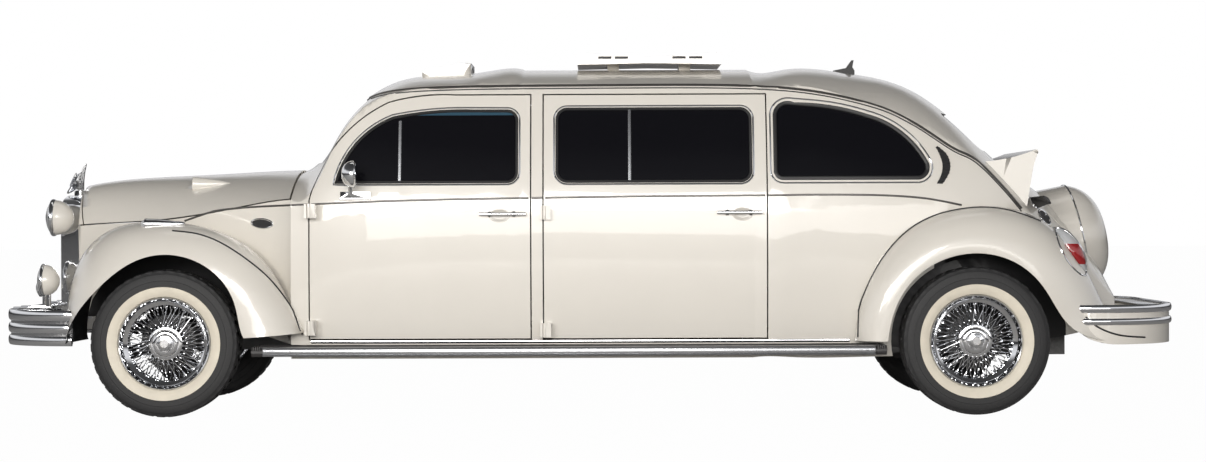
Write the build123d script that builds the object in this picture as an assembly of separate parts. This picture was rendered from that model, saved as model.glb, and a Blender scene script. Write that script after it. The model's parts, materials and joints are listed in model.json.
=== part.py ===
from build123d import *
from collections import namedtuple
from math import cos, radians, sin
import os

# Stretched classic limousine: four doors, separate fenders, wire wheels, round tail.
# Millimetres. X runs rearward, Y to the car's right, Z up. The origin is on the floor
# under the middle of the overall box.

# Driving sizes of the car
WHEELBASE = 3500.0
FRONT_AXLE_X = -1845.0
REAR_AXLE_X = FRONT_AXLE_X + WHEELBASE
ROOF_Z = 1530.0
BELT_Y = 650.0
FENDER_Y = 775.0
FRONT_TRACK = 1310.0
REAR_TRACK = 1350.0

# Walls and running clearances
WALL = 50.0
ROOF_WALL = 40.0
PANEL = 22.0
FENDER_SHEET = 9.0
DOOR_GAP = 6.0
SEAT_GAP = 0.3
GLASS_INSET = 14.0
GLASS_THICK = 6.0
OVERRUN = 200.0

SIDES = (-1, 1)


def station(share):
    """X of a share of the wheelbase, counted from the front axle."""
    return FRONT_AXLE_X + share * WHEELBASE


def line(a, b):
    return Edge.make_line(a, b)


def arc(a, b, c):
    return Edge.make_three_point_arc(a, b, c)


def bulged(a, b, rise):
    """Arc from a to b that stands out sideways from its chord by rise."""
    a, b = Vector(*a), Vector(*b)
    along = b - a
    out = Vector(0, along.Z, -along.Y).normalized() * rise
    return arc(a, (a + b) / 2 + out, b)


def prism(wire, vector):
    return Solid.extrude(Face(wire), Vector(*vector))


def side_outline(edges_xz):
    """Closed wire in the XZ plane from point lists: two points are a line, three an arc."""
    edges = []
    for points in edges_xz:
        spots = [Vector(x, 0, z) for x, z in points]
        edges.append(line(*spots) if len(spots) == 2 else arc(*spots))
    return Wire(edges)


def across(wire, y_from, y_to):
    """Prism of an XZ outline from y_from to y_to."""
    return prism(wire.moved(Location((0, y_from, 0))), (0, y_to - y_from, 0))


def box(x_from, x_to, y_from, y_to, z_from, z_to):
    solid = Solid.make_box(x_to - x_from, y_to - y_from, z_to - z_from)
    return solid.moved(Location((x_from, y_from, z_from)))


def rod(start, end, radius):
    start, end = Vector(*start), Vector(*end)
    return Solid.make_cylinder(radius, (end - start).length, Plane(origin=start, z_dir=end - start))


def mirrored(solid):
    return solid.mirror(Plane.XZ)


def one(shape):
    """The largest solid of a cut shape."""
    return max(shape.solids(), key=lambda s: s.volume)


def several(shape, least=0.05):
    """All solids of a cut shape but slivers smaller than a share of the largest."""
    solids = shape.solids()
    biggest = max(s.volume for s in solids)
    return [s for s in solids if s.volume > least * biggest]


# Body shell. Each section: station share of the wheelbase, then shares of the roof height
# and of the belt half-width for sill, belt and rail, then the crown's share.
Section = namedtuple("Section", "x sill_z sill_y belt_z belt_y rail_z rail_y crown_z")
SHELL_SHARES = [Section(*row) for row in (
    (0.152, 0.160, 0.915, 0.580, 0.915, 0.612, 0.906, 0.699),
    (0.193, 0.160, 0.926, 0.600, 0.955, 0.702, 0.905, 0.788),
    (0.224, 0.160, 0.935, 0.606, 0.976, 0.832, 0.868, 0.886),
    (0.259, 0.160, 0.942, 0.610, 0.988, 0.900, 0.840, 0.951),
    (0.322, 0.160, 0.945, 0.614, 0.997, 0.932, 0.820, 0.985),
    (0.390, 0.160, 0.945, 0.617, 1.000, 0.939, 0.815, 0.997),
    (0.441, 0.160, 0.945, 0.618, 1.000, 0.940, 0.815, 1.000),
    (0.727, 0.160, 0.945, 0.618, 1.000, 0.940, 0.815, 1.000),
    (0.778, 0.160, 0.945, 0.619, 0.999, 0.934, 0.817, 1.000),
    (0.856, 0.160, 0.940, 0.621, 0.992, 0.897, 0.828, 0.990),
    (0.936, 0.165, 0.918, 0.620, 0.966, 0.822, 0.842, 0.945),
    (0.996, 0.175, 0.850, 0.600, 0.912, 0.742, 0.840, 0.848),
    (1.049, 0.190, 0.770, 0.550, 0.826, 0.635, 0.795, 0.732),
    (1.087, 0.200, 0.700, 0.475, 0.742, 0.550, 0.715, 0.668),
    (1.133, 0.215, 0.600, 0.390, 0.630, 0.460, 0.600, 0.578),
    (1.173, 0.235, 0.500, 0.320, 0.520, 0.375, 0.490, 0.462),
    (1.197, 0.255, 0.420, 0.285, 0.430, 0.320, 0.410, 0.355),
)]
STRAIGHT_FROM = 6
SIDE_BULGE = 16.0
UPPER_BULGE = 11.0


def shell_wire(row, inset, roof_inset, drop, shift=0.0):
    """One closed YZ section of the shell, moved inwards by inset and down below the sill by drop."""
    x = station(row.x) - shift
    sill = (BELT_Y * row.sill_y - inset, ROOF_Z * row.sill_z - drop)
    belt = (BELT_Y * row.belt_y - inset, ROOF_Z * row.belt_z)
    rail = (BELT_Y * row.rail_y - inset, ROOF_Z * row.rail_z - roof_inset / 2)
    crown = ROOF_Z * row.crown_z - roof_inset
    right = [Vector(x, y, z) for y, z in (sill, belt, rail)]
    left = [Vector(x, -y, z) for y, z in (rail, belt, sill)]
    side = SIDE_BULGE * row.belt_y ** 4
    upper = UPPER_BULGE * row.rail_z ** 4
    return Wire([
        line(left[2], right[0]),
        bulged(right[0], right[1], side),
        bulged(right[1], right[2], upper),
        arc(right[2], Vector(x, 0, crown), left[0]),
        bulged(left[0], left[1], upper),
        bulged(left[1], left[2], side),
    ])


def shell_solid(inset, roof_inset, drop=0.0, end_wall=0.0):
    wires = [shell_wire(row, inset, roof_inset, drop) for row in SHELL_SHARES[:-1]]
    wires.append(shell_wire(SHELL_SHARES[-1], inset, roof_inset, drop, end_wall))
    front = Solid.make_loft(wires[:STRAIGHT_FROM + 1])
    middle = Solid.make_loft(wires[STRAIGHT_FROM:STRAIGHT_FROM + 2], ruled=True)
    rear = Solid.make_loft(wires[STRAIGHT_FROM + 1:])
    return one(front + middle + rear)



# Doors and windows, seen from the side. Panel is the span of an opening.
Panel = namedtuple("Panel", "x0 x1 z0 z1")
DOOR_BOTTOM_Z = 332.0
DOOR_TOP_Z = 1393.0
POST_WIDTH = 60.0
FRONT_DOOR = Panel(-1229.0, -268.0, DOOR_BOTTOM_Z, DOOR_TOP_Z)
REAR_DOOR = Panel(FRONT_DOOR.x1 + POST_WIDTH, 760.0, DOOR_BOTTOM_Z, DOOR_TOP_Z)
FRONT_PANE = Panel(-1120.0, -319.0, 1007.0, 1331.0)
REAR_PANE = Panel(-157.0, 700.0, 1007.0, 1338.0)
QUARTER_PANE = Panel(792.0, 1472.0, 1016.0, 1358.0)
# Outline shares of a panel's span: two points are a line, three an arc
FRONT_DOOR_SHARES = (
    ((0, 0), (0, 0.568)), ((0, 0.568), (0.160, 0.840), (0.360, 0.971)),
    ((0.360, 0.971), (0.50, 0.996), (0.663, 1)), ((0.663, 1), (1, 1)), ((1, 1), (1, 0)), ((1, 0), (0, 0)),
)
SQUARE_SHARES = (((0, 0), (0, 1)), ((0, 1), (1, 1)), ((1, 1), (1, 0)), ((1, 0), (0, 0)))
FRONT_PANE_SHARES = (
    ((0, 0), (0.10, 0.52), (0.316, 0.91)), ((0.316, 0.91), (0.52, 0.985), (0.76, 1)),
    ((0.76, 1), (0.94, 1)), ((0.94, 1), (0.983, 0.955), (1, 0.85)), ((1, 0.85), (1, 0.15)),
    ((1, 0.15), (0.983, 0.045), (0.94, 0)), ((0.94, 0), (0, 0)),
)
REAR_PANE_SHARES = (
    ((0.06, 0), (0.018, 0.045), (0, 0.16)), ((0, 0.16), (0, 0.84)), ((0, 0.84), (0.018, 0.955), (0.06, 1)),
    ((0.06, 1), (0.94, 1)), ((0.94, 1), (0.982, 0.955), (1, 0.84)), ((1, 0.84), (1, 0.16)),
    ((1, 0.16), (0.982, 0.045), (0.94, 0)), ((0.94, 0), (0.06, 0)),
)
QUARTER_PANE_SHARES = (
    ((0.06, 0), (0.018, 0.035), (0, 0.13)), ((0, 0.13), (0, 0.84)), ((0, 0.84), (0.03, 0.965), (0.14, 1)),
    ((0.14, 1), (0.40, 0.955), (0.607, 0.85)), ((0.607, 0.85), (0.885, 0.535), (1, 0.22)),
    ((1, 0.22), (0.987, 0.06), (0.93, 0)), ((0.93, 0), (0.06, 0)),
)


def panel_outline(panel, shares, grow=0.0):
    """Closed XZ wire of an outline given in shares of a panel's span, which grows on every side."""
    x0, z0 = panel.x0 - grow, panel.z0 - grow
    length, height = panel.x1 + grow - x0, panel.z1 + grow - z0
    spots = [[(x0 + u * length, z0 + v * height) for u, v in points] for points in shares]
    return side_outline(spots)


# Openings seen from the front or rear: half-widths and heights of rounded trapezoids
Opening = namedtuple("Opening", "top_y top_z low_y low_z corner x0 x1")
SCREEN = Opening(425.0, 1392.0, 515.0, 1105.0, 60.0, -1330.0, -870.0)
BACKLIGHT = Opening(320.0, 1318.0, 365.0, 1150.0, 60.0, 1440.0, 1900.0)
LID = Opening(325.0, 1008.0, 255.0, 505.0, 70.0, 1850.0, 2420.0)


def facing(opening, grow=0.0):
    """Prism along X through a rounded trapezoid that faces forwards or rearwards."""
    low_y, top_y = opening.low_y + grow, opening.top_y + grow
    low_z, top_z = opening.low_z - grow, opening.top_z + grow
    corners = [(-low_y, low_z), (-top_y, top_z), (top_y, top_z), (low_y, low_z)]
    wire = Wire.make_polygon([Vector(opening.x0, y, z) for y, z in corners], close=True)
    wire = wire.fillet_2d(opening.corner + grow, wire.vertices())
    return prism(wire, (opening.x1 - opening.x0, 0, 0))


# Seams of the shell's panels
ROOF_SEAM_Z = 1402.0
ROOF_SEAM_Y = 330.0
COWL_SEAM_X = -830.0
TAIL_SEAM_X = 1490.0
HINGE_PIN_R = DOOR_GAP / 2 - SEAT_GAP
HINGE_SPAN = 60.0
SHELL_FRONT_X = station(SHELL_SHARES[0].x)
SHELL_REAR_X = station(SHELL_SHARES[-1].x)
FIREWALL = 20.0

outer = shell_solid(0, 0)
inner = shell_solid(WALL, ROOF_WALL, OVERRUN, WALL)
wall = one(outer - inner)
far_y = BELT_Y + OVERRUN
near_y = BELT_Y - 2 * OVERRUN


def both_sides(panel, shares, grow=0.0):
    """Prisms of a side opening through the left and the right wall."""
    wire = panel_outline(panel, shares, grow)
    return [across(wire, side * near_y, side * far_y) for side in SIDES]


# Name, door span and outline, window span and outline
DoorPlan = namedtuple("DoorPlan", "name span shares pane pane_shares")
DOORS = (DoorPlan("door_front", FRONT_DOOR, FRONT_DOOR_SHARES, FRONT_PANE, FRONT_PANE_SHARES),
         DoorPlan("door_rear", REAR_DOOR, SQUARE_SHARES, REAR_PANE, REAR_PANE_SHARES))
openings = []
for plan in DOORS:
    openings += both_sides(plan.span, plan.shares, DOOR_GAP)
openings += both_sides(QUARTER_PANE, QUARTER_PANE_SHARES)
openings += [facing(SCREEN), facing(BACKLIGHT), facing(LID, DOOR_GAP)]
TYRE_R = 319.0
TYRE_W = 188.0
ARCH_GAP = 34.0
AXLE_GAP = 12.0
SWING_TUBE_R = 38.0
REAR_HUB_Y = REAR_TRACK / 2
arch_y = REAR_HUB_Y - TYRE_W / 2 - ARCH_GAP / 2
for side in SIDES:
    hub = Vector(REAR_AXLE_X, side * arch_y, TYRE_R)
    openings.append(rod(hub, hub + Vector(0, side * OVERRUN, 0), TYRE_R + ARCH_GAP))
    openings.append(rod(hub - Vector(0, side * OVERRUN, 0), hub, SWING_TUBE_R + AXLE_GAP))
glass_outer = shell_solid(GLASS_INSET, GLASS_INSET)
glass_inner = shell_solid(GLASS_INSET + GLASS_THICK, GLASS_INSET + GLASS_THICK, OVERRUN)
glass_layer = one(glass_outer - glass_inner)

# The shell with its openings, then split at its seams
shell = one(wall.cut(*openings))
reach = BELT_Y + OVERRUN
front_x, rear_x = SHELL_FRONT_X - OVERRUN, SHELL_REAR_X + OVERRUN
roof_block = box(front_x, rear_x, -reach, reach, ROOF_SEAM_Z, ROOF_Z + OVERRUN)
crown_block = box(COWL_SEAM_X, TAIL_SEAM_X, -ROOF_SEAM_Y, ROOF_SEAM_Y, ROOF_SEAM_Z - OVERRUN, ROOF_Z)
cowl_block = box(front_x, COWL_SEAM_X, -reach, reach, -OVERRUN, ROOF_SEAM_Z)
middle_block = box(COWL_SEAM_X, TAIL_SEAM_X, -reach, reach, -OVERRUN, ROOF_SEAM_Z)
tail_block = box(TAIL_SEAM_X, rear_x, -reach, reach, -OVERRUN, ROOF_SEAM_Z)

nodes = {}
nodes["roof"] = several(shell & (roof_block + crown_block))
side_panels = several(shell & (middle_block - crown_block), least=0.2)
cowl = one(shell & cowl_block)
tail = one(shell & tail_block)


def door_solid(plan, side):
    """One door: the wall inside its outline, with its window cut."""
    index = SIDES.index(side)
    blank = one(wall & both_sides(plan.span, plan.shares)[index])
    return one(blank - both_sides(plan.pane, plan.pane_shares)[index])


def pane(span, shares, side):
    """Glass of one side window, a little smaller than its opening."""
    return one(glass_layer & both_sides(span, shares, -SEAT_GAP)[SIDES.index(side)])


def surface_y(x, z):
    """How far the shell stands out at one station and height."""
    probe = rod((x, 0, z), (x, far_y, z), SEAT_GAP)
    return (outer & probe).bounding_box().max.Y


# External hinges and bright fittings of the doors
Fitting = namedtuple("Fitting", "handle_x0 handle_x1 handle_z hinge_low hinge_high")
HINGE_R = 9.0
HINGE_AHEAD = 20.0
HINGE_BEHIND = 28.0
HINGE_HEIGHT = 62.0
HINGE_LEAF = 6.0
HINGE_OFFSET_X = 6.0
HINGE_Y = 676.0
HANDLE_RISE = 24.0
HANDLE_R = 8.0
HANDLE_POST_R = 12.0
HANDLE_POST_SHARES = (0.22, 0.74)
FRONT_FITTING = Fitting(-487.0, -285.0, 873.0, 350.0, 858.0)
REAR_FITTING = Fitting(545.0, 740.0, 877.0, 338.0, 848.0)
SINK = 6.0


def hinge_axis_x(panel):
    return panel.x0 - DOOR_GAP / 2 + HINGE_OFFSET_X


def hinge(panel, fitting, side, on_door):
    """Two hinge halves of one door: barrel and leaf on the door, or the leaves on the body."""
    axis_x = hinge_axis_x(panel)
    pieces = []
    for low in (fitting.hinge_low, fitting.hinge_high):
        high = low + HINGE_HEIGHT
        if on_door:
            x_from, x_to = axis_x, axis_x + HINGE_BEHIND
        else:
            x_from, x_to = axis_x - HINGE_AHEAD, axis_x - HINGE_R - SEAT_GAP
        foot = surface_y((x_from + x_to) / 2, low) - SINK
        leaf = box(x_from, x_to, min(side * foot, side * (HINGE_Y + HINGE_LEAF)),
                   max(side * foot, side * (HINGE_Y + HINGE_LEAF)), low, high)
        if on_door:
            leaf = leaf + rod((axis_x, side * HINGE_Y, low), (axis_x, side * HINGE_Y, high), HINGE_R)
        pieces.append(leaf)
    return pieces


def handle(fitting, side):
    """Lever handle on two posts."""
    length = fitting.handle_x1 - fitting.handle_x0
    mid_x = (fitting.handle_x0 + fitting.handle_x1) / 2
    skin_y = surface_y(mid_x, fitting.handle_z)
    bar_y = side * (skin_y + HANDLE_RISE)
    bar_z = fitting.handle_z
    bar = rod((fitting.handle_x0, bar_y, bar_z), (fitting.handle_x1, bar_y, bar_z), HANDLE_R)
    for share in HANDLE_POST_SHARES:
        x = fitting.handle_x0 + share * length
        bar = bar + rod((x, side * (skin_y - SINK), bar_z), (x, bar_y, bar_z), HANDLE_POST_R)
    return bar


# Door mirror: a round bowl on a stalk from a low pedestal
MIRROR_X = -1045.0
MIRROR_Z = 1047.0
MIRROR_R = 59.0
MIRROR_DEPTH = 62.0
MIRROR_OUT = 735.0
PEDESTAL_X0 = -1090.0
PEDESTAL_X1 = -960.0
PEDESTAL_Z0 = 940.0
PEDESTAL_Z1 = 972.0
PEDESTAL_RISE = 26.0
STALK_R = 9.0


def mirror_bowl(side):
    half = MIRROR_DEPTH / 2
    rim = half / 2
    profile = Wire([
        line(Vector(-half, 0, 0), Vector(half, 0, 0)),
        line(Vector(half, 0, 0), Vector(half, 0, MIRROR_R - rim / 2)),
        line(Vector(half, 0, MIRROR_R - rim / 2), Vector(half - rim / 2, 0, MIRROR_R)),
        arc(Vector(half - rim / 2, 0, MIRROR_R), Vector(-rim, 0, MIRROR_R * 3 / 4), Vector(-half, 0, 0)),
    ])
    bowl = Solid.revolve(Face(profile), 360, Axis.X)
    bowl = bowl.moved(Location((MIRROR_X, side * MIRROR_OUT, MIRROR_Z)))
    skin_y = surface_y((PEDESTAL_X0 + PEDESTAL_X1) / 2, PEDESTAL_Z0)
    foot = box(PEDESTAL_X0, PEDESTAL_X1, min(side * (skin_y - WALL / 2), side * (skin_y + PEDESTAL_RISE)),
               max(side * (skin_y - WALL / 2), side * (skin_y + PEDESTAL_RISE)), PEDESTAL_Z0, PEDESTAL_Z1)
    stalk = rod((MIRROR_X, side * (skin_y + STALK_R), PEDESTAL_Z0 + STALK_R),
                (MIRROR_X, side * MIRROR_OUT, MIRROR_Z), STALK_R)
    return bowl + foot + stalk


FITTINGS = (FRONT_FITTING, REAR_FITTING)
nodes["hinge_leaves"] = []
for side, hand in zip(SIDES, ("left", "right")):
    for plan, fitting in zip(DOORS, FITTINGS):
        trim = hinge(plan.span, fitting, side, True) + [handle(fitting, side)]
        if plan.name == "door_front":
            trim.append(mirror_bowl(side))
        nodes[f"{plan.name}_{hand}"] = [door_solid(plan, side)]
        nodes[f"{plan.name}_trim_{hand}"] = [one(piece - outer) for piece in trim]
        nodes[f"{plan.name}_glass_{hand}"] = [pane(plan.pane, plan.pane_shares, side)]
        leaves = hinge(plan.span, fitting, side, False)
        nodes["hinge_leaves"] += [one(piece - outer) for piece in leaves]
nodes["body_sides"] = side_panels
nodes["cowl"] = [cowl]
nodes["tail"] = [tail]
nodes["fixed_glass"] = [pane(QUARTER_PANE, QUARTER_PANE_SHARES, side) for side in SIDES]
nodes["fixed_glass"] += [one(glass_layer & facing(end, -SEAT_GAP)) for end in (SCREEN, BACKLIGHT)]



# Front tub under the hood. Stations, then heights and half-widths of floor and shut line
# as shares of the roof height and the belt half-width, then the hood's crown.
NoseSection = namedtuple("NoseSection", "x floor_z floor_y shut_z shut_y crown_z")
NOSE_SHARES = [NoseSection(*row) for row in (
    (0.152, 0.200, 0.880, 0.613, 0.905, 0.704),
    (0.234, 0.250, 0.590, 0.585, 0.760, 0.697),
    (0.304, 0.280, 0.545, 0.560, 0.675, 0.689),
    (0.377, 0.280, 0.430, 0.548, 0.530, 0.680),
    (0.437, 0.275, 0.330, 0.540, 0.390, 0.660),
)]
NOSE_REAR_X = station(NOSE_SHARES[0].x)
TUB_WALL = 30.0


def nose_x(row):
    """Nose stations run forwards from the shell's front."""
    return NOSE_REAR_X - (row.x - NOSE_SHARES[0].x) * WHEELBASE


def tub_wire(row, inset, lift, x):
    low = Vector(x, BELT_Y * row.floor_y - inset, ROOF_Z * row.floor_z + inset)
    top = Vector(x, BELT_Y * row.shut_y - inset, ROOF_Z * row.shut_z + lift)
    corners = [Vector(x, -low.Y, low.Z), low, top, Vector(x, -top.Y, top.Z)]
    return Wire.make_polygon(corners, close=True)


def hood_wire(row, drop, x):
    shut = Vector(x, BELT_Y * row.shut_y - drop / 2, ROOF_Z * row.shut_z + DOOR_GAP)
    crown = Vector(x, 0, ROOF_Z * row.crown_z - drop)
    low = Vector(x, shut.Y, shut.Z - OVERRUN * (drop > 0))
    edges = [arc(shut, crown, Vector(x, -shut.Y, shut.Z))]
    if drop > 0:
        edges += [line(Vector(x, -shut.Y, shut.Z), Vector(x, -low.Y, low.Z)),
                  line(Vector(x, -low.Y, low.Z), low), line(low, shut)]
    else:
        edges.append(line(Vector(x, -shut.Y, shut.Z), shut))
    return Wire(edges)


tub_outer = Solid.make_loft([tub_wire(row, 0, 0, nose_x(row)) for row in NOSE_SHARES])
tub_xs = [nose_x(row) for row in NOSE_SHARES]
tub_xs[0] -= FIREWALL
tub_xs[-1] += TUB_WALL
tub_inner = Solid.make_loft([tub_wire(row, TUB_WALL, OVERRUN, x) for row, x in zip(NOSE_SHARES, tub_xs)])
nodes["front_tub"] = [one(tub_outer - tub_inner)]
NOSE_TIP_X = nose_x(NOSE_SHARES[-1])

HOOD_REAR_X = SHELL_FRONT_X - DOOR_GAP
hood_xs = [nose_x(row) for row in NOSE_SHARES]
hood_xs[0] = HOOD_REAR_X
hood_outer = Solid.make_loft([hood_wire(row, 0, x) for row, x in zip(NOSE_SHARES, hood_xs)])
hood_inner_xs = list(hood_xs)
hood_inner_xs[0] += PANEL
hood_inner_xs[-1] += PANEL
hood_inner = Solid.make_loft([hood_wire(row, PANEL, x) for row, x in zip(NOSE_SHARES, hood_inner_xs)])

# The hood's front follows an arc about its hinge and lifts clear of the radiator shell. The lip
# outside that arc is fixed to the shell.
GRILLE_Z0, GRILLE_Z1 = 400.0, 966.0
HOOD_AXIS_X = SHELL_FRONT_X - DOOR_GAP / 2
HOOD_AXIS_Z = ROOF_Z * NOSE_SHARES[0].crown_z - HINGE_PIN_R
hood_reach = (Vector(NOSE_TIP_X, 0, GRILLE_Z1) - Vector(HOOD_AXIS_X, 0, HOOD_AXIS_Z)).length


def hood_sweep(radius):
    return rod((HOOD_AXIS_X, -BELT_Y, HOOD_AXIS_Z), (HOOD_AXIS_X, BELT_Y, HOOD_AXIS_Z), radius)


nose_lip = one(hood_outer - hood_sweep(hood_reach))
hood_shell = hood_outer & hood_sweep(hood_reach - DOOR_GAP)
hood = one(hood_shell - (hood_inner & hood_sweep(hood_reach - DOOR_GAP - PANEL)))
# Air scoops on the hood's shoulders
SCOOP_X0, SCOOP_X1 = -1790.0, -1600.0
SCOOP_Y = 270.0
SCOOP_R = 34.0
SCOOP_Z = 1012.0
for side in SIDES:
    scoop_length = SCOOP_X1 - SCOOP_X0
    scoop_profile = Wire([
        line(Vector(0, 0, 0), Vector(scoop_length, 0, 0)),
        arc(Vector(scoop_length, 0, 0), Vector(scoop_length * 2 / 5, 0, SCOOP_R * 3 / 4),
            Vector(0, 0, SCOOP_R)),
        line(Vector(0, 0, SCOOP_R), Vector(0, 0, 0)),
    ])
    scoop = Solid.revolve(Face(scoop_profile), 360, Axis.X)
    scoop = scoop.moved(Location((SCOOP_X0, side * SCOOP_Y, SCOOP_Z)))
    hood = one(hood + (scoop - hood_inner))
nodes["hood"] = [hood]

# Hinge pin in the shut gap, carried by the cowl
hood_pin = rod((HOOD_AXIS_X, -HINGE_SPAN, HOOD_AXIS_Z), (HOOD_AXIS_X, HINGE_SPAN, HOOD_AXIS_Z), HINGE_PIN_R)
hood_leaf = box(HOOD_AXIS_X, SHELL_FRONT_X + DOOR_GAP, -HINGE_SPAN, HINGE_SPAN,
                HOOD_AXIS_Z - ROOF_WALL / 2, HOOD_AXIS_Z)
nodes["cowl"] = [one(nodes["cowl"][0] + hood_pin + hood_leaf)]

# Engine lid with its round hump
HUMP_X, HUMP_Z = 2200.0, 750.0
HUMP_R = 248.0
HUMP_TILT = 11.0
HUMP_FRONT = -160.0
HUMP_SHOULDER = 12.0
HUMP_BACK = 128.0
HUMP_MID_SHARE = 0.76


def hump_solid(inset):
    """Domed disc about a near-level axis, its back face leaning with the tail."""
    radius, back = HUMP_R - inset, HUMP_BACK - inset
    profile = Wire([
        line(Vector(HUMP_FRONT, 0, 0), Vector(back, 0, 0)),
        arc(Vector(back, 0, 0), Vector((back + HUMP_SHOULDER) * HUMP_MID_SHARE, 0, radius * HUMP_MID_SHARE),
            Vector(HUMP_SHOULDER, 0, radius)),
        line(Vector(HUMP_SHOULDER, 0, radius), Vector(HUMP_FRONT, 0, radius)),
        line(Vector(HUMP_FRONT, 0, radius), Vector(HUMP_FRONT, 0, 0)),
    ])
    disc = Solid.revolve(Face(profile), 360, Axis.X)
    return disc.moved(Location((HUMP_X, 0, HUMP_Z), (0, -HUMP_TILT, 0)))


hump = one(hump_solid(0) - hump_solid(PANEL) - inner)
lid_blank = one(wall & facing(LID))
lid = one((lid_blank - hump_solid(PANEL)) + hump)
nodes["engine_lid"] = [lid]
# Its hinge pin in the top shut gap, carried by the tail
LID_AXIS_Z = LID.top_z + DOOR_GAP / 2
lid_probe = rod((LID.x0, 0, LID_AXIS_Z), (LID.x1, 0, LID_AXIS_Z), SEAT_GAP)
LID_AXIS_X = (outer & lid_probe).bounding_box().max.X - HINGE_PIN_R
lid_pin = rod((LID_AXIS_X, -HINGE_SPAN, LID_AXIS_Z), (LID_AXIS_X, HINGE_SPAN, LID_AXIS_Z), HINGE_PIN_R)
lid_leaf = box(LID_AXIS_X - ROOF_WALL / 2, LID_AXIS_X, -HINGE_SPAN, HINGE_SPAN,
               LID_AXIS_Z, LID_AXIS_Z + DOOR_GAP * 2)
nodes["tail"] = [one(nodes["tail"][0] + (lid_leaf & outer) + lid_pin)]

# Ducktail spoiler: side outline shares of its span, seated on the tail
SPOILER = Panel(1715.0, 1972.0, 880.0, 1151.0)
SPOILER_Y = 452.0
SPOILER_SHARES = (
    ((0, 0.80), (0.55, 0.87), (0.97, 1)), ((0.97, 1), (1, 0.98), (0.995, 0.93)),
    ((0.995, 0.93), (0.93, 0.75), (0.90, 0.62)), ((0.90, 0.62), (0.75, -0.30)),
    ((0.75, -0.30), (0, -0.30)), ((0, -0.30), (0, 0.80)),
)
spoiler_wire = panel_outline(SPOILER, SPOILER_SHARES).moved(Location((0, -SPOILER_Y, 0)))
spoiler = prism(spoiler_wire, (0, 2 * SPOILER_Y, 0))
nodes["spoiler"] = [one(spoiler - outer)]

# Fenders: thin shells swept about the wheel's axis. Angle from the rearward level, then radius
# and half-width of root, shoulder and lip as shares of the tyre radius and the fender half-width.
FenderSection = namedtuple("FenderSection", "angle root_r root_y top_r top_y lip_r lip_y")
FRONT_FENDER_SHARES = [FenderSection(*row) for row in (
    (180, 1.33, 0.36, 1.375, 0.78, 1.335, 0.94),
    (150, 1.45, 0.33, 1.530, 0.78, 1.180, 0.985),
    (122, 1.56, 0.38, 1.690, 0.78, 1.150, 0.997),
    (90, 1.51, 0.55, 1.615, 0.81, 1.205, 1.0),
    (60, 1.57, 0.62, 1.640, 0.84, 1.195, 1.0),
    (30, 1.66, 0.68, 1.650, 0.87, 1.115, 0.996),
    (4, 1.86, 0.76, 1.760, 0.89, 1.090, 0.985),
)]
REAR_FENDER_SHARES = [FenderSection(*row) for row in (
    (180, 1.60, 0.80, 1.585, 0.90, 1.200, 0.985),
    (150, 1.625, 0.80, 1.585, 0.915, 1.190, 1.0),
    (120, 1.735, 0.79, 1.680, 0.905, 1.190, 1.0),
    (90, 1.805, 0.75, 1.750, 0.885, 1.185, 1.0),
    (60, 1.875, 0.64, 1.830, 0.835, 1.175, 0.998),
    (30, 1.815, 0.53, 1.815, 0.770, 1.150, 0.983),
    (10, 1.900, 0.48, 1.900, 0.740, 1.260, 0.965),
    (0, 2.150, 0.46, 2.150, 0.720, 1.700, 0.940),
)]


def fender_wire(row, axle_x, inset):
    """Section of a fender in the plane through the wheel's axis at one angle, left side."""
    out = Vector(cos(radians(row.angle)), 0, sin(radians(row.angle)))
    hub = Vector(axle_x, 0, TYRE_R)

    def spot(radius_share, width_share, shift=0.0):
        return hub + out * (TYRE_R * radius_share - shift) - Vector(0, FENDER_Y * width_share - shift, 0)

    root = spot(row.root_r, row.root_y) + Vector(0, inset, 0)
    lip = spot(row.lip_r, row.lip_y)
    root_in = root - out * FENDER_SHEET
    lip_in = lip + Vector(0, FENDER_SHEET, 0)
    top = spot(row.top_r, row.top_y)
    top_in = spot(row.top_r, row.top_y, FENDER_SHEET)
    return Wire([arc(root, top, lip), line(lip, lip_in), arc(lip_in, top_in, root_in), line(root_in, root)])


def fender(rows, axle_x, keep_off):
    """Left fender, its root trimmed to the body."""
    raw = Solid.make_loft([fender_wire(row, axle_x, 0) for row in rows])
    for solid in keep_off:
        raw = one(raw - solid)
    return raw


front_fender = fender(FRONT_FENDER_SHARES, FRONT_AXLE_X, (tub_outer, outer))
rear_fender = fender(REAR_FENDER_SHARES, REAR_AXLE_X, (outer,))
nodes["front_fenders"] = [front_fender, mirrored(front_fender)]
nodes["rear_fenders"] = [rear_fender, mirrored(rear_fender)]


# Floor pan: plate with a tunnel, a firewall at the front and the frame head under the tub
FLOOR_Z = 262.0
FLOOR_SHEET = 18.0
FLOOR_REAR_X = 1290.0
TUNNEL_Y = 90.0
TUNNEL_RISE = 110.0
FRAME_HEAD_Y = 110.0
FRAME_HEAD_X = -2010.0
FRAME_HEAD_DEPTH = 90.0
plate = box(SHELL_FRONT_X, FLOOR_REAR_X, -BELT_Y, BELT_Y, FLOOR_Z, FLOOR_Z + FLOOR_SHEET)
tunnel = box(SHELL_FRONT_X, FLOOR_REAR_X, -TUNNEL_Y, TUNNEL_Y, FLOOR_Z, FLOOR_Z + TUNNEL_RISE)
firewall = box(SHELL_FRONT_X, SHELL_FRONT_X + FIREWALL, -BELT_Y, BELT_Y, FLOOR_Z, ROOF_Z)
floor_pan = one((plate & inner) + tunnel + (firewall & inner))
frame_head = box(FRAME_HEAD_X, SHELL_FRONT_X, -FRAME_HEAD_Y, FRAME_HEAD_Y,
                 FLOOR_Z, FLOOR_Z + FRAME_HEAD_DEPTH)
floor_pan = one(floor_pan + (frame_head - tub_outer))
nodes["floor_pan"] = [floor_pan]

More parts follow.
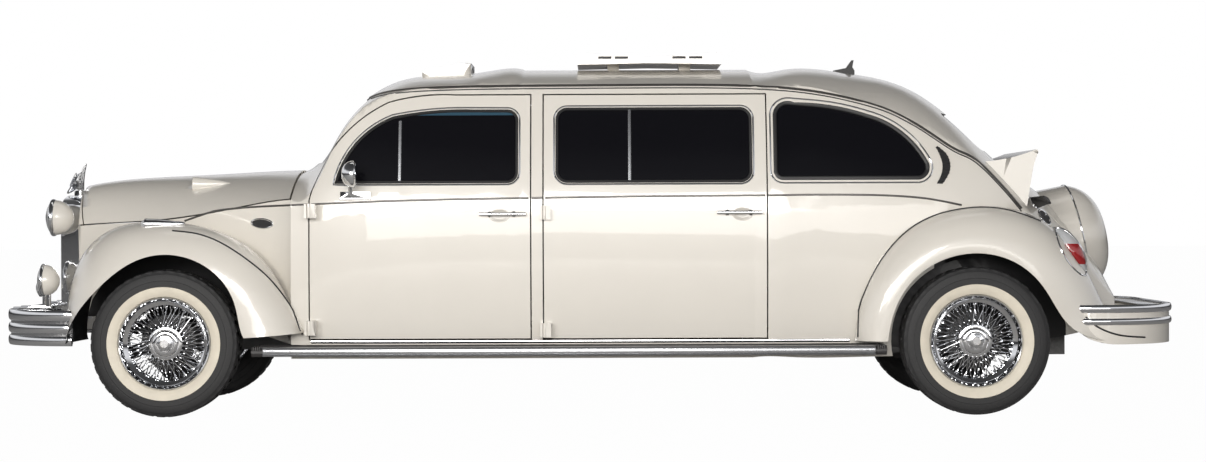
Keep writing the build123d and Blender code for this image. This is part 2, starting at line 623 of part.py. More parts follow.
# Rear wheelhouses: drums that close the arches off from the cabin
house_r = TYRE_R + ARCH_GAP
house_axis = Vector(REAR_AXLE_X, -arch_y, TYRE_R)
house_out = house_axis - Vector(0, OVERRUN, 0)
house = rod(house_axis + Vector(0, FENDER_SHEET, 0), house_out, house_r + FENDER_SHEET)
house = house - rod(house_axis, house_out, house_r)
house = house - rod(house_axis + Vector(0, OVERRUN, 0), house_out, SWING_TUBE_R + AXLE_GAP)
wheelhouse = one(house & inner)
nodes["wheelhouses"] = [wheelhouse, mirrored(wheelhouse)]

# Front axle: two cross tubes in the frame head, arms out to the kingpin eyes
HUB_Z = TYRE_R
FRONT_HUB_Y = FRONT_TRACK / 2
KINGPIN_Y = FRONT_HUB_Y - 25.0
BEAM_X = FRAME_HEAD_X - 30.0
BEAM_TUBE_R = 30.0
BEAM_SPREAD = 52.0
BEAM_HALF = 400.0
ARM_HALF = 11.0
EYE_R = 17.0
EYE_HALF = 11.0
KINGPIN_R = 9.0
beam = None
for level in SIDES:
    z = HUB_Z + level * BEAM_SPREAD
    tube = rod((BEAM_X, -BEAM_HALF, z), (BEAM_X, BEAM_HALF, z), BEAM_TUBE_R)
    beam = tube if beam is None else beam + tube
    for side in SIDES:
        eye = rod((FRONT_AXLE_X, side * KINGPIN_Y, z - EYE_HALF),
                  (FRONT_AXLE_X, side * KINGPIN_Y, z + EYE_HALF), EYE_R)
        bore = rod((FRONT_AXLE_X, side * KINGPIN_Y, z - EYE_R), (FRONT_AXLE_X, side * KINGPIN_Y, z + EYE_R),
                   KINGPIN_R + SEAT_GAP)
        arm = rod((BEAM_X, side * (BEAM_HALF - BEAM_TUBE_R), z),
                  (FRONT_AXLE_X, side * KINGPIN_Y, z), ARM_HALF)
        beam = (beam + arm + eye) - bore
web = box(BEAM_X - ARM_HALF, FRAME_HEAD_X, -FRAME_HEAD_Y, FRAME_HEAD_Y,
          HUB_Z - BEAM_SPREAD, HUB_Z + BEAM_SPREAD)
nodes["front_axle_beam"] = [one(beam + web)]

# Knuckles: upright between the eyes, kingpin, stub axle, backing plate and steering arm
STUB_R = 15.0
STUB_OUT = 58.0
PLATE_R = 118.0
PLATE_THICK = 6.0
PLATE_IN = 47.0
TRACK_ARM = (100.0, -52.0)
UPRIGHT_HALF = BEAM_SPREAD - EYE_HALF - SEAT_GAP
kingpin_high = BEAM_SPREAD + EYE_R


def knuckle(side):
    pivot = Vector(FRONT_AXLE_X, side * KINGPIN_Y, HUB_Z)
    up = Vector(0, 0, 1)
    upright = rod(pivot - up * UPRIGHT_HALF, pivot + up * UPRIGHT_HALF, EYE_R)
    pin = rod(pivot - up * kingpin_high, pivot + up * kingpin_high, KINGPIN_R)
    stub = rod(pivot, (FRONT_AXLE_X, side * (FRONT_HUB_Y + STUB_OUT), HUB_Z), STUB_R)
    plate_y = side * (FRONT_HUB_Y - PLATE_IN)
    backing = rod((FRONT_AXLE_X, plate_y, HUB_Z),
                  (FRONT_AXLE_X, plate_y + side * PLATE_THICK, HUB_Z), PLATE_R)
    # Cut out round the axle's eyes and, ahead of them, along its arms, which it swings across
    for level in SIDES:
        low, high = (pivot + up * level * (BEAM_SPREAD + reach) for reach in (-EYE_R, EYE_R))
        backing = backing - rod(low, high, 3 * EYE_R)
        slot = box(FRONT_AXLE_X - 2 * PLATE_R, FRONT_AXLE_X, -FENDER_Y, FENDER_Y,
                   min(low.Z, high.Z), max(low.Z, high.Z))
        backing = backing - slot
    arm_end = pivot + Vector(TRACK_ARM[0], side * TRACK_ARM[1], 0)
    return one(upright + pin + stub + rod(pivot, arm_end, ARM_HALF) + backing)


# Rear axle: gearbox on the centre line, swing tubes, backing plates and stub axles
GEARBOX_X0, GEARBOX_X1 = 1375.0, 1800.0
GEARBOX_Y = 130.0
GEARBOX_Z0, GEARBOX_Z1 = 215.0, 455.0
ENGINE_X1 = 2120.0
ENGINE_Y = 270.0
ENGINE_Z0, ENGINE_Z1 = 235.0, 600.0
gearbox = box(GEARBOX_X0, GEARBOX_X1, -GEARBOX_Y, GEARBOX_Y, GEARBOX_Z0, GEARBOX_Z1)
neck = box(FLOOR_REAR_X, GEARBOX_X0, -TUNNEL_Y, TUNNEL_Y, FLOOR_Z, FLOOR_Z + TUNNEL_RISE)
rear_axle = gearbox + neck
plate_y = REAR_HUB_Y - PLATE_IN
for side in SIDES:
    tube = rod((REAR_AXLE_X, 0, HUB_Z), (REAR_AXLE_X, side * plate_y, HUB_Z), SWING_TUBE_R)
    backing = rod((REAR_AXLE_X, side * plate_y, HUB_Z),
                  (REAR_AXLE_X, side * (plate_y + PLATE_THICK), HUB_Z), PLATE_R)
    stub = rod((REAR_AXLE_X, side * plate_y, HUB_Z),
               (REAR_AXLE_X, side * (REAR_HUB_Y + STUB_OUT), HUB_Z), STUB_R)
    rear_axle = rear_axle + tube + backing + stub
nodes["rear_axle"] = [one(rear_axle)]
engine = box(GEARBOX_X1, ENGINE_X1, -ENGINE_Y, ENGINE_Y, ENGINE_Z0, ENGINE_Z1)
nodes["engine"] = [one(engine - wall - tail)]

# Wheel about its own axis: w runs outwards from the middle plane of the tyre
RIM_R = 190.0
RIM_LIP_R = 200.0
RIM_HALF = 72.0
RIM_WELL_R = 168.0
RIM_SKIN = 7.0
HUB_R = 30.0
HUB_IN = -2.0
HUB_OUT = 50.0
FLANGE_R = 72.0
FLANGE_THICK = 8.0
FLANGE_W = 34.0
CAP_R = 35.0
CAP_OUT = 74.0
SPOKE_PAIRS = 18
SPOKE_SIDE = 4.6
SPOKE_LEAN = 16.0
SPOKE_RIM_W = -8.0


def revolved(points):
    """Ring about the Y axis from a closed outline of (w, radius) points."""
    wire = Wire.make_polygon([Vector(0, w, r) for w, r in points], close=True)
    return Solid.revolve(Face(wire), 360, Axis.Y)


def spoke(start, end):
    """Square bar between two (w, radius, angle) places."""
    ends = [Vector(r * cos(radians(a)), w, r * sin(radians(a))) for w, r, a in (start, end)]
    along = ends[1] - ends[0]
    plane = Plane(origin=ends[0], z_dir=along)
    bar = Solid.make_box(SPOKE_SIDE, SPOKE_SIDE, along.length)
    return bar.moved(plane.location * Location((-SPOKE_SIDE / 2, -SPOKE_SIDE / 2, 0)))


def wheel_solid():
    inner_well = RIM_WELL_R - RIM_SKIN
    seat = RIM_HALF * 5 / 6
    well = RIM_HALF / 2
    rim = revolved([
        (-RIM_HALF, RIM_LIP_R), (-RIM_HALF, RIM_R - RIM_SKIN), (-well, inner_well), (well, inner_well),
        (seat, RIM_R - RIM_SKIN), (RIM_HALF, RIM_LIP_R - RIM_SKIN), (RIM_HALF, RIM_LIP_R),
        (seat, RIM_R), (well + RIM_SKIN, RIM_R), (well, RIM_WELL_R), (-well, RIM_WELL_R),
        (-well - RIM_SKIN, RIM_R), (-seat, RIM_R),
    ])
    bore = STUB_R + SEAT_GAP
    stub_end = STUB_OUT + SEAT_GAP
    hub = revolved([
        (HUB_IN, bore), (HUB_IN, HUB_R), (FLANGE_W, HUB_R), (FLANGE_W, FLANGE_R),
        (FLANGE_W + FLANGE_THICK, FLANGE_R), (HUB_OUT, CAP_R), (CAP_OUT - FLANGE_THICK, CAP_R),
        (CAP_OUT, CAP_R * 3 / 4), (CAP_OUT, 0), (stub_end, 0), (stub_end, bore),
    ])
    spokes = []
    step = 360 / SPOKE_PAIRS
    outer_w = FLANGE_W + FLANGE_THICK / 2
    for index in range(SPOKE_PAIRS):
        base = index * step
        for lean in (-SPOKE_LEAN, SPOKE_LEAN):
            foot = base + lean / 4
            spokes.append(spoke((outer_w, FLANGE_R - SPOKE_SIDE, foot),
                                (SPOKE_RIM_W, inner_well + SPOKE_SIDE / 2, foot + lean)))
    return one(rim.fuse(hub, *spokes))



def tyre_solid():
    """Closed ring of the tyre's outer form on the rim's bead seats."""
    seat = RIM_HALF * 5 / 6
    half = TYRE_W / 2
    tread = half * 3 / 4
    mid_r = (TYRE_R + RIM_R) / 2
    left = [Vector(0, -seat, RIM_LIP_R + SEAT_GAP), Vector(0, -half, mid_r),
            Vector(0, -tread, TYRE_R - RIM_SKIN)]
    right = [Vector(0, -v.Y, v.Z) for v in left]
    beads = [Vector(0, w, RIM_R) for w in (seat, -seat)]
    wire = Wire([
        arc(*left), arc(left[2], Vector(0, 0, TYRE_R), right[2]), arc(right[2], right[1], right[0]),
        line(right[0], beads[0]), line(beads[0], beads[1]), line(beads[1], left[0]),
    ])
    return Solid.revolve(Face(wire), 360, Axis.Y)


wheel = wheel_solid()
tyre = tyre_solid()
AXLES = (("front", FRONT_AXLE_X, FRONT_HUB_Y), ("rear", REAR_AXLE_X, REAR_HUB_Y))
for axle, axle_x, hub_y in AXLES:
    for side, hand in zip(SIDES, ("left", "right")):
        turn = Location((axle_x, side * hub_y, HUB_Z), (0, 0, 0 if side > 0 else 180))
        nodes[f"wheel_{axle}_{hand}"] = [wheel.moved(turn)]
        nodes[f"tyre_{axle}_{hand}"] = [tyre.moved(turn)]
for side, hand in zip(SIDES, ("left", "right")):
    nodes[f"knuckle_{hand}"] = [knuckle(side)]

# Running boards along the sills
BOARD_X0, BOARD_X1 = -1465.0, 1268.0
BOARD_Z0, BOARD_Z1 = 262.0, 302.0
BOARD_IN = 560.0
BOARD_OUT = 768.0
BOARD_CORNER = 15.0
board_ends = [Vector(0, BOARD_IN, BOARD_Z0), Vector(0, BOARD_OUT - BOARD_CORNER, BOARD_Z0),
              Vector(0, BOARD_OUT, BOARD_Z0 + BOARD_CORNER), Vector(0, BOARD_OUT, BOARD_Z1 - BOARD_CORNER),
              Vector(0, BOARD_OUT - BOARD_CORNER, BOARD_Z1), Vector(0, BOARD_IN, BOARD_Z1)]
board_wire = Wire.make_polygon(board_ends, close=True).moved(Location((BOARD_X0, 0, 0)))
board = prism(board_wire, (BOARD_X1 - BOARD_X0, 0, 0))
board = one(one(one(board - outer) - tub_outer) - mirrored(front_fender) - mirrored(rear_fender))
nodes["running_boards"] = [board, mirrored(board)]


GRILLE_Y = 196.0

# Bumpers: bands bent round the car's ends. Plan of a band: straight middle, arcs to the ends.
Band = namedtuple("Band", "face_x end_x end_y straight_y")
FRONT_BAND = Band(-2580.0, -2250.0, 705.0, 300.0)
REAR_BAND = Band(2574.0, 2105.0, 722.0, 330.0)


def band_solid(band, inset, depth, z_from, z_to):
    """Bent band between two heights, its face moved inwards by inset."""
    way = 1 if band.face_x > band.end_x else -1

    def plan(shift):
        face_x, end_y = band.face_x - way * shift, band.end_y - shift
        mid_y = (band.straight_y + end_y) / 2
        mid_x = face_x - way * abs(band.face_x - band.end_x) / 4
        spots = [Vector(band.end_x, end_y, z_from), Vector(mid_x, (mid_y + end_y) / 2, z_from),
                 Vector(face_x, band.straight_y, z_from)]
        far = [Vector(v.X, -v.Y, v.Z) for v in spots]
        return Wire([arc(*spots), line(spots[2], far[2]), arc(far[2], far[1], far[0]),
                     line(far[0], spots[0])])

    rise = (0, 0, z_to - z_from)
    return one(prism(plan(inset), rise) - prism(plan(inset + depth), rise))


BLADE_DEPTH = 26.0
FRONT_BLADES = ((308.0, 350.0), (362.0, 404.0), (416.0, 462.0))
FRONT_CORE = (316.0, 455.0)
CORE_INSET = 10.0
BRACKET_Y = 270.0
BRACKET_HALF = 20.0
blades = [band_solid(FRONT_BAND, 0, BLADE_DEPTH, *span) for span in FRONT_BLADES]
front_bumper = band_solid(FRONT_BAND, CORE_INSET, BLADE_DEPTH, *FRONT_CORE)
for blade in blades:
    front_bumper = front_bumper + blade
TUB_FLOOR_Z = ROOF_Z * NOSE_SHARES[-1].floor_z
for side in SIDES:
    arm_y = side * (GRILLE_Y + BRACKET_HALF / 2)
    arm_bar = box(FRONT_BAND.face_x + CORE_INSET + BLADE_DEPTH / 2, NOSE_TIP_X, arm_y - BRACKET_HALF / 3,
                  arm_y + BRACKET_HALF / 3, TUB_FLOOR_Z - BRACKET_HALF, TUB_FLOOR_Z + BRACKET_HALF)
    front_bumper = front_bumper + arm_bar
front_bumper = one(one(front_bumper) - front_fender)
nodes["front_bumper"] = [one(front_bumper - mirrored(front_fender))]

REAR_BLADES = ((384.0, 413.0), (437.0, 471.0))
REAR_CORE = (300.0, 462.0)
rear_core = band_solid(REAR_BAND, CORE_INSET, BLADE_DEPTH, *REAR_CORE)
arm_z = (REAR_BLADES[0][0] + REAR_BLADES[1][1]) / 2
for side in SIDES:
    arm_y = side * BRACKET_Y * 2 / 3
    arm_bar = box(SHELL_REAR_X - SINK, REAR_BAND.face_x - CORE_INSET - BLADE_DEPTH / 2,
                  arm_y - BRACKET_HALF, arm_y + BRACKET_HALF, arm_z - BRACKET_HALF, arm_z + BRACKET_HALF)
    rear_core = rear_core + (arm_bar - outer)
# Two bolt holes for a plate in the rear valance, between the blades
PLATE_HOLE_R = 3.5
PLATE_HOLE_PITCH = 150.0
plate_z = (REAR_BLADES[0][1] + REAR_BLADES[1][0]) / 2
for side in SIDES:
    hole_y = side * PLATE_HOLE_PITCH / 2
    hole = rod((SHELL_REAR_X, hole_y, plate_z), (REAR_BAND.face_x, hole_y, plate_z), PLATE_HOLE_R)
    rear_core = rear_core - hole
rear_core = one(rear_core)
rear_blades = [band_solid(REAR_BAND, 0, CORE_INSET, *span) for span in REAR_BLADES]
fenders_rear = (rear_fender, mirrored(rear_fender))
nodes["rear_bumper"] = [one(one(one(blade - rear_core) - fenders_rear[0]) - fenders_rear[1])
                        for blade in rear_blades]
nodes["rear_valance"] = [one(one(rear_core - fenders_rear[0]) - fenders_rear[1])]
TOW_Z = 330.0
TOW_R = 7.0
TOW_BALL_R = 13.0
TOW_TIP_X = 2600.0
tow_root = REAR_BAND.face_x - CORE_INSET
tow = rod((tow_root, 0, TOW_Z), (TOW_TIP_X - TOW_BALL_R, 0, TOW_Z), TOW_R)
tow = tow + Solid.make_sphere(TOW_BALL_R).moved(Location((TOW_TIP_X - TOW_BALL_R, 0, TOW_Z)))
nodes["rear_bumper"].append(one(tow - rear_core))

# Radiator shell: upright frame with an arched top and vertical bars
GRILLE_X0, GRILLE_X1 = -2400.0, NOSE_TIP_X
GRILLE_ARCH = 46.0
GRILLE_RIM = 24.0
GRILLE_BARS = 13
GRILLE_BAR = 8.0


def grille_wire(inset):
    low, high, half = GRILLE_Z0 + inset, GRILLE_Z1 - inset, GRILLE_Y - inset
    spots = [Vector(GRILLE_X0, y, z) for y, z in ((-half, low), (half, low), (half, high - GRILLE_ARCH),
                                                  (0, high), (-half, high - GRILLE_ARCH))]
    return Wire([line(spots[0], spots[1]), line(spots[1], spots[2]), arc(*spots[2:5]),
                 line(spots[4], spots[0])])


grille_depth = GRILLE_X1 - GRILLE_X0
frame_solid = prism(grille_wire(0), (grille_depth, 0, 0))
frame_solid = frame_solid - prism(grille_wire(GRILLE_RIM), (grille_depth - GRILLE_RIM, 0, 0))
bar_pitch = 2 * (GRILLE_Y - GRILLE_RIM) / (GRILLE_BARS + 1)
for index in range(GRILLE_BARS):
    y = (index - (GRILLE_BARS - 1) / 2) * bar_pitch
    bar = box(GRILLE_X0 + GRILLE_BAR, GRILLE_X1 - GRILLE_RIM, y - GRILLE_BAR / 2, y + GRILLE_BAR / 2,
              GRILLE_Z0 + GRILLE_RIM, GRILLE_Z1 - GRILLE_RIM * 3 / 4)
    frame_solid = frame_solid + (bar & prism(grille_wire(GRILLE_RIM / 2), (grille_depth, 0, 0)))
nodes["grille"] = [one(frame_solid + nose_lip)]

# Ornament: a plain swept fin on a stepped base
ORNAMENT_X = -2352.0
ORNAMENT_TOP = 1112.0
ORNAMENT_BASE_R = 26.0
ORNAMENT_BASE_H = 22.0
ORNAMENT_HALF = 9.0
ORNAMENT_SWEEP = 28.0
crest_z = GRILLE_Z1
base = rod((ORNAMENT_X, 0, crest_z - SINK), (ORNAMENT_X, 0, crest_z + ORNAMENT_BASE_H), ORNAMENT_BASE_R)
base = base - prism(grille_wire(0), (grille_depth, 0, 0))
fin_root = ORNAMENT_BASE_R * 2 / 3
fin_spots = [Vector(x, -ORNAMENT_HALF, z) for x, z in (
    (ORNAMENT_X - fin_root, crest_z + ORNAMENT_BASE_H / 2),
    (ORNAMENT_X - fin_root / 2, (crest_z + ORNAMENT_TOP) / 2),
    (ORNAMENT_X + ORNAMENT_SWEEP, ORNAMENT_TOP),
    (ORNAMENT_X + ORNAMENT_SWEEP, ORNAMENT_TOP - ORNAMENT_HALF),
    (ORNAMENT_X + fin_root, (crest_z + ORNAMENT_TOP) / 2 - ORNAMENT_BASE_H / 2),
    (ORNAMENT_X + fin_root, crest_z + ORNAMENT_BASE_H / 2))]
fin_wire = Wire([arc(*fin_spots[0:3]), line(*fin_spots[2:4]), arc(*fin_spots[3:6]),
                 line(fin_spots[5], fin_spots[0])])
nodes["ornament"] = [one(base + prism(fin_wire, (0, 2 * ORNAMENT_HALF, 0)))]

# Lamps: bowls about the X axis with domed lenses
Lamp = namedtuple("Lamp", "x_front x_back y z radius")
HEADLAMP = Lamp(-2447.0, -2322.0, 284.0, 865.0, 84.0)
FOG_LAMP = Lamp(-2450.0, -2352.0, 450.0, 588.0, 74.0)
SMALL_LAMP = Lamp(-2490.0, -2415.0, 300.0, 552.0, 42.0)
LENS_SHARE = 0.22
RIM_SHARE = 0.10


def dome(apex_x, base_x, base_r):
    """Arc from a point on the X axis to a base ring, square to the axis at its apex."""
    height = base_x - apex_x
    sphere_r = (base_r ** 2 + height ** 2) / abs(2 * height)
    half = base_r / 2
    way = 1 if height > 0 else -1
    middle = Vector(apex_x + way * (sphere_r - (sphere_r ** 2 - half ** 2) ** 0.5), 0, half)
    return arc(Vector(apex_x, 0, 0), middle, Vector(base_x, 0, base_r))


def lamp_solid(lamp, side):
    """Domed lens, rim and bowl of one lamp in one piece."""
    length, r = lamp.x_back - lamp.x_front, lamp.radius
    lens_x, rim_x = length * LENS_SHARE, length * (LENS_SHARE + RIM_SHARE)
    bowl_r, lens_r = r * (1 - RIM_SHARE / 2), r * (1 - RIM_SHARE)
    wire = Wire([
        line(Vector(0, 0, 0), Vector(length, 0, 0)),
        dome(length, rim_x, bowl_r),
        line(Vector(rim_x, 0, bowl_r), Vector(rim_x, 0, r)),
        line(Vector(rim_x, 0, r), Vector(lens_x, 0, r)),
        line(Vector(lens_x, 0, r), Vector(lens_x, 0, lens_r)),
        dome(0, lens_x, lens_r),
    ])
    bowl = Solid.revolve(Face(wire), 360, Axis.X)
    return bowl.moved(Location((lamp.x_front, side * lamp.y, lamp.z)))


STEM_R = 11.0
nodes["headlamps"], nodes["bumper_lamps"] = [], []
blade_top = FRONT_BLADES[-1][1]
for side in SIDES:
    pod = lamp_solid(HEADLAMP, side)
    mid_x = (HEADLAMP.x_front + HEADLAMP.x_back) / 2
    stem = rod((mid_x, side * GRILLE_Y, HEADLAMP.z), (mid_x, side * HEADLAMP.y, HEADLAMP.z), STEM_R)
    nodes["headlamps"].append(one(pod + stem))
    for lamp in (FOG_LAMP, SMALL_LAMP):
        mid_x = (lamp.x_front + lamp.x_back) / 2
        low_z = blade_top + STEM_R + SEAT_GAP
        stem = rod((mid_x, side * lamp.y, low_z - STEM_R), (mid_x, side * lamp.y, lamp.z), STEM_R)
        foot_x = FRONT_BAND.face_x + CORE_INSET + BLADE_DEPTH / 2
        foot = box(foot_x, mid_x, side * lamp.y - STEM_R, side * lamp.y + STEM_R,
                   blade_top, blade_top + STEM_R)
        nodes["bumper_lamps"].append(one(lamp_solid(lamp, side) + stem + foot))

# Lamps let into the fenders: half-sunk drops along the fender's crown
Drop = namedtuple("Drop", "x y z length width height lean")
FENDER_LAMP = Drop(-1861.0, -625.0, 822.0, 205.0, 58.0, 52.0, 0.0)
TAIL_LAMP = Drop(2088.0, -590.0, 700.0, 235.0, 105.0, 70.0, 60.0)


def drop_solid(drop):
    """Pointed-oval drop, longest along its leaning axis."""
    half, tip = drop.length / 2, drop.height / 8
    wire = Wire([line(Vector(-half, 0, 0), Vector(half, 0, 0)),
                 line(Vector(half, 0, 0), Vector(half, 0, tip)),
                 arc(Vector(half, 0, tip), Vector(0, 0, drop.width / 2), Vector(-half, 0, tip)),
                 line(Vector(-half, 0, tip), Vector(-half, 0, 0))])
    whole = Solid.revolve(Face(wire), 360, Axis.X)
    return whole.moved(Location((drop.x, drop.y, drop.z), (0, drop.lean, 0)))


def seated_drop(drop, sheet, axle_x):
    """The part of a drop that stands outside the fender's sheet."""
    hub = Vector(axle_x, drop.y, TYRE_R)
    return max((drop_solid(drop) - sheet).solids(), key=lambda s: (s.center() - hub).length)


fender_lamp = seated_drop(FENDER_LAMP, front_fender, FRONT_AXLE_X)
tail_lamp = seated_drop(TAIL_LAMP, rear_fender, REAR_AXLE_X)
nodes["fender_lamps"] = [fender_lamp, mirrored(fender_lamp)]
nodes["tail_lamps"] = [tail_lamp, mirrored(tail_lamp)]

# Roof fittings: front wedge vent, twin pod, fin antenna
VENT = Panel(-768.0, -548.0, 1480.0, 1556.0)
VENT_Y = 150.0
VENT_SHARES = (((0, 0), (0, 0.50)), ((0, 0.50), (0.10, 0.64)), ((0.10, 0.64), (0.75, 0.96)),
               ((0.75, 0.96), (1, 1)), ((1, 1), (1, 0)), ((1, 0), (0, 0)))
POD = Panel(-64.0, 585.0, 1546.0, 1598.0)
POD_Y0, POD_Y1 = -210.0, 210.0
POD_SHARES = (
    ((0, 0), (0, 0.97)), ((0, 0.97), (0.02, 1)), ((0.02, 1), (0.5, 0.62)), ((0.5, 0.62), (0.98, 1)),
    ((0.98, 1), (1, 0.97)), ((1, 0.97), (1, 0)), ((1, 0), (0.5, 0.12)), ((0.5, 0.12), (0, 0)),
)
POD_FOOT = 26.0
FIN = Panel(1108.0, 1206.0, 1490.0, 1574.0)
FIN_Y = 11.0
FIN_SHARES = (((0, 0), (0, 0.44)), ((0, 0.44), (0.60, 0.58)), ((0.60, 0.58), (0.86, 1)),
              ((0.86, 1), (0.96, 1)), ((0.96, 1), (0.90, 0.62)), ((0.90, 0.62), (1, 0.44)),
              ((1, 0.44), (1, 0)), ((1, 0), (0, 0)))


def slab(panel, shares, y_from, y_to):
    return across(panel_outline(panel, shares), y_from, y_to)


vent = one(slab(VENT, VENT_SHARES, -VENT_Y, VENT_Y) - outer)
fin = one(slab(FIN, FIN_SHARES, -FIN_Y, FIN_Y) - outer)
nodes["roof_fittings"] = [vent, fin]
pod = slab(POD, POD_SHARES, POD_Y0, POD_Y1)
pod_length = POD.x1 - POD.x0
for share in (1 / 4, 3 / 4):
    foot_x = POD.x0 + share * pod_length
    pod = pod + box(foot_x - POD_FOOT, foot_x + POD_FOOT, POD_Y0 / 2, POD_Y1 / 2,
                    ROOF_Z - ROOF_WALL, POD.z0 + POD_FOOT)
nodes["roof_pod"] = [one(pod - outer)]

# Seats: cushion and leaning back over a plinth; the front pair, a middle and a rear bench
SEAT_H = 250.0
SEAT_DEPTH = 500.0
SEAT_BACK_H = 560.0
SEAT_THICK = 130.0
SEAT_LEAN = 90.0
Bench = namedtuple("Bench", "x y0 y1")
BENCHES = (Bench(-830.0, -520.0, -115.0), Bench(-830.0, 115.0, 520.0), Bench(-130.0, -515.0, 515.0),
           Bench(660.0, -500.0, 500.0))
floor_top = FLOOR_Z + FLOOR_SHEET
seats = []
for bench in BENCHES:
    z0 = floor_top
    z1 = floor_top + SEAT_H
    x1 = bench.x + SEAT_DEPTH
    x2 = x1 + SEAT_THICK
    spots = [(bench.x + SEAT_THICK / 2, z0), (bench.x, z1 - SEAT_THICK / 2), (bench.x + SEAT_THICK / 3, z1),
             (x1 - SEAT_THICK / 2, z1 - SEAT_THICK / 4),
             (x1 + SEAT_LEAN - SEAT_THICK / 4, z1 + SEAT_BACK_H),
             (x2 + SEAT_LEAN - SEAT_THICK / 3, z1 + SEAT_BACK_H), (x2, z1), (x2, z0)]
    wire = side_outline([(a, b) for a, b in zip(spots, spots[1:] + spots[:1])])
    seat = across(wire, bench.y0, bench.y1)
    seats.append(one(seat - tunnel))
nodes["seats"] = seats

# Dashboard on the cowl, with the steering column and wheel
DASH = Panel(SHELL_FRONT_X + FIREWALL, -1105.0, 860.0, 1010.0)
DASH_SHARES = (((0, 0), (0, 1)), ((0, 1), (0.7, 0.95), (1, 0.7)), ((1, 0.7), (0.9, 0)), ((0.9, 0), (0, 0)))
dash_y = BELT_Y - WALL * 7 / 2
dash = slab(DASH, DASH_SHARES, -dash_y, dash_y) & inner
COLUMN_Y = -330.0
COLUMN_R = 16.0
STEER_TILT = 35.0
STEER_R = 185.0
STEER_RIM_R = 12.0
STEER_CENTRE = Vector(-960.0, COLUMN_Y, 930.0)
column_way = Vector(cos(radians(STEER_TILT)), 0, sin(radians(STEER_TILT)))
column_foot = STEER_CENTRE - column_way * (DASH.x1 - DASH.x0)
dash = dash + rod(column_foot, STEER_CENTRE - column_way * (STEER_RIM_R * 3), COLUMN_R * 3 / 2)
nodes["dashboard"] = [one(dash - firewall)]
wheel_plane = Plane(origin=STEER_CENTRE, z_dir=column_way)
rim_low = STEER_CENTRE - column_way * STEER_RIM_R
rim_high = STEER_CENTRE + column_way * STEER_RIM_R
steering = rod(rim_low, rim_high, STEER_R + STEER_RIM_R) - rod(rim_low, rim_high, STEER_R - STEER_RIM_R)
hub_back = STEER_CENTRE - column_way * (STEER_RIM_R * 3 - SEAT_GAP)
steering = steering + rod(hub_back, STEER_CENTRE + column_way * STEER_RIM_R, COLUMN_R * 2)
for angle in (90, 210, 330):
    reach_x, reach_y = STEER_R * cos(radians(angle)), STEER_R * sin(radians(angle))
    tip = wheel_plane.from_local_coords(Vector(reach_x, reach_y, 0))
    steering = steering + rod(STEER_CENTRE, tip, STEER_RIM_R / 2)
nodes["steering_wheel"] = [one(steering)]


def write_parts():
    """One file per node."""
    os.makedirs("parts", exist_ok=True)
    for name, solids in nodes.items():
        shape = solids[0] if len(solids) == 1 else Compound(children=solids)
        export_step(shape, f"parts/{name}.step")


write_parts()
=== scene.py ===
import json
import logging
from dataclasses import dataclass, field
from enum import Enum
from functools import partial
from math import atan2, copysign, cos, hypot, pi, radians, sin, sqrt, tau
from typing import Callable, Iterable, Sequence

import bmesh
import bpy
from mathutils import Matrix, Vector
from mathutils.bvhtree import BVHTree


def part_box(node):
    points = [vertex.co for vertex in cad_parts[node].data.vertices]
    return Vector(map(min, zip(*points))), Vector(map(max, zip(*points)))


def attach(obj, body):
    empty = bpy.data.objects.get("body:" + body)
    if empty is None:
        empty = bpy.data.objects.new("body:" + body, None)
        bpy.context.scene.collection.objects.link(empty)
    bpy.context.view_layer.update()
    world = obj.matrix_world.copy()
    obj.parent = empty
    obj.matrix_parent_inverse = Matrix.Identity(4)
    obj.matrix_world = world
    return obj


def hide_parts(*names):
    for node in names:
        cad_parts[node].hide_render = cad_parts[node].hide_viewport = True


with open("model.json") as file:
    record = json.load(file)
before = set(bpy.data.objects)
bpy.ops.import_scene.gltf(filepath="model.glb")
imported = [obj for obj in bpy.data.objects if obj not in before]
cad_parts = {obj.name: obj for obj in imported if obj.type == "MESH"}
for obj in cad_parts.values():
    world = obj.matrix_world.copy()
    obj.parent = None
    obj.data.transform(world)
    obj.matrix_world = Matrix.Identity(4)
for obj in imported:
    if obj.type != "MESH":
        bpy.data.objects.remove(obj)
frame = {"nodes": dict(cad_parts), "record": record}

LOG = logging.getLogger("limousine")
ROOT = "car"
SIDES = (-1, 1)
SIDE_NAME = {-1: "left", 1: "right"}

# Places taken over from the CAD part, in metres
FRONT_AXLE_X, REAR_AXLE_X, HUB_Z = -1.845, 1.655, 0.319
FRONT_HUB_Y, REAR_HUB_Y = 0.655, 0.675
FLOOR_Z = 0.262

MERGE = 2e-5  # Corners nearer than this are one corner
BEYOND = 2.0  # A place outside the car's sides, where rays start
Row = tuple[tuple[float, float], ...]


class Edge(Enum):
    """How a path piece ends."""

    OPEN = "open"
    LOOP = "loop"


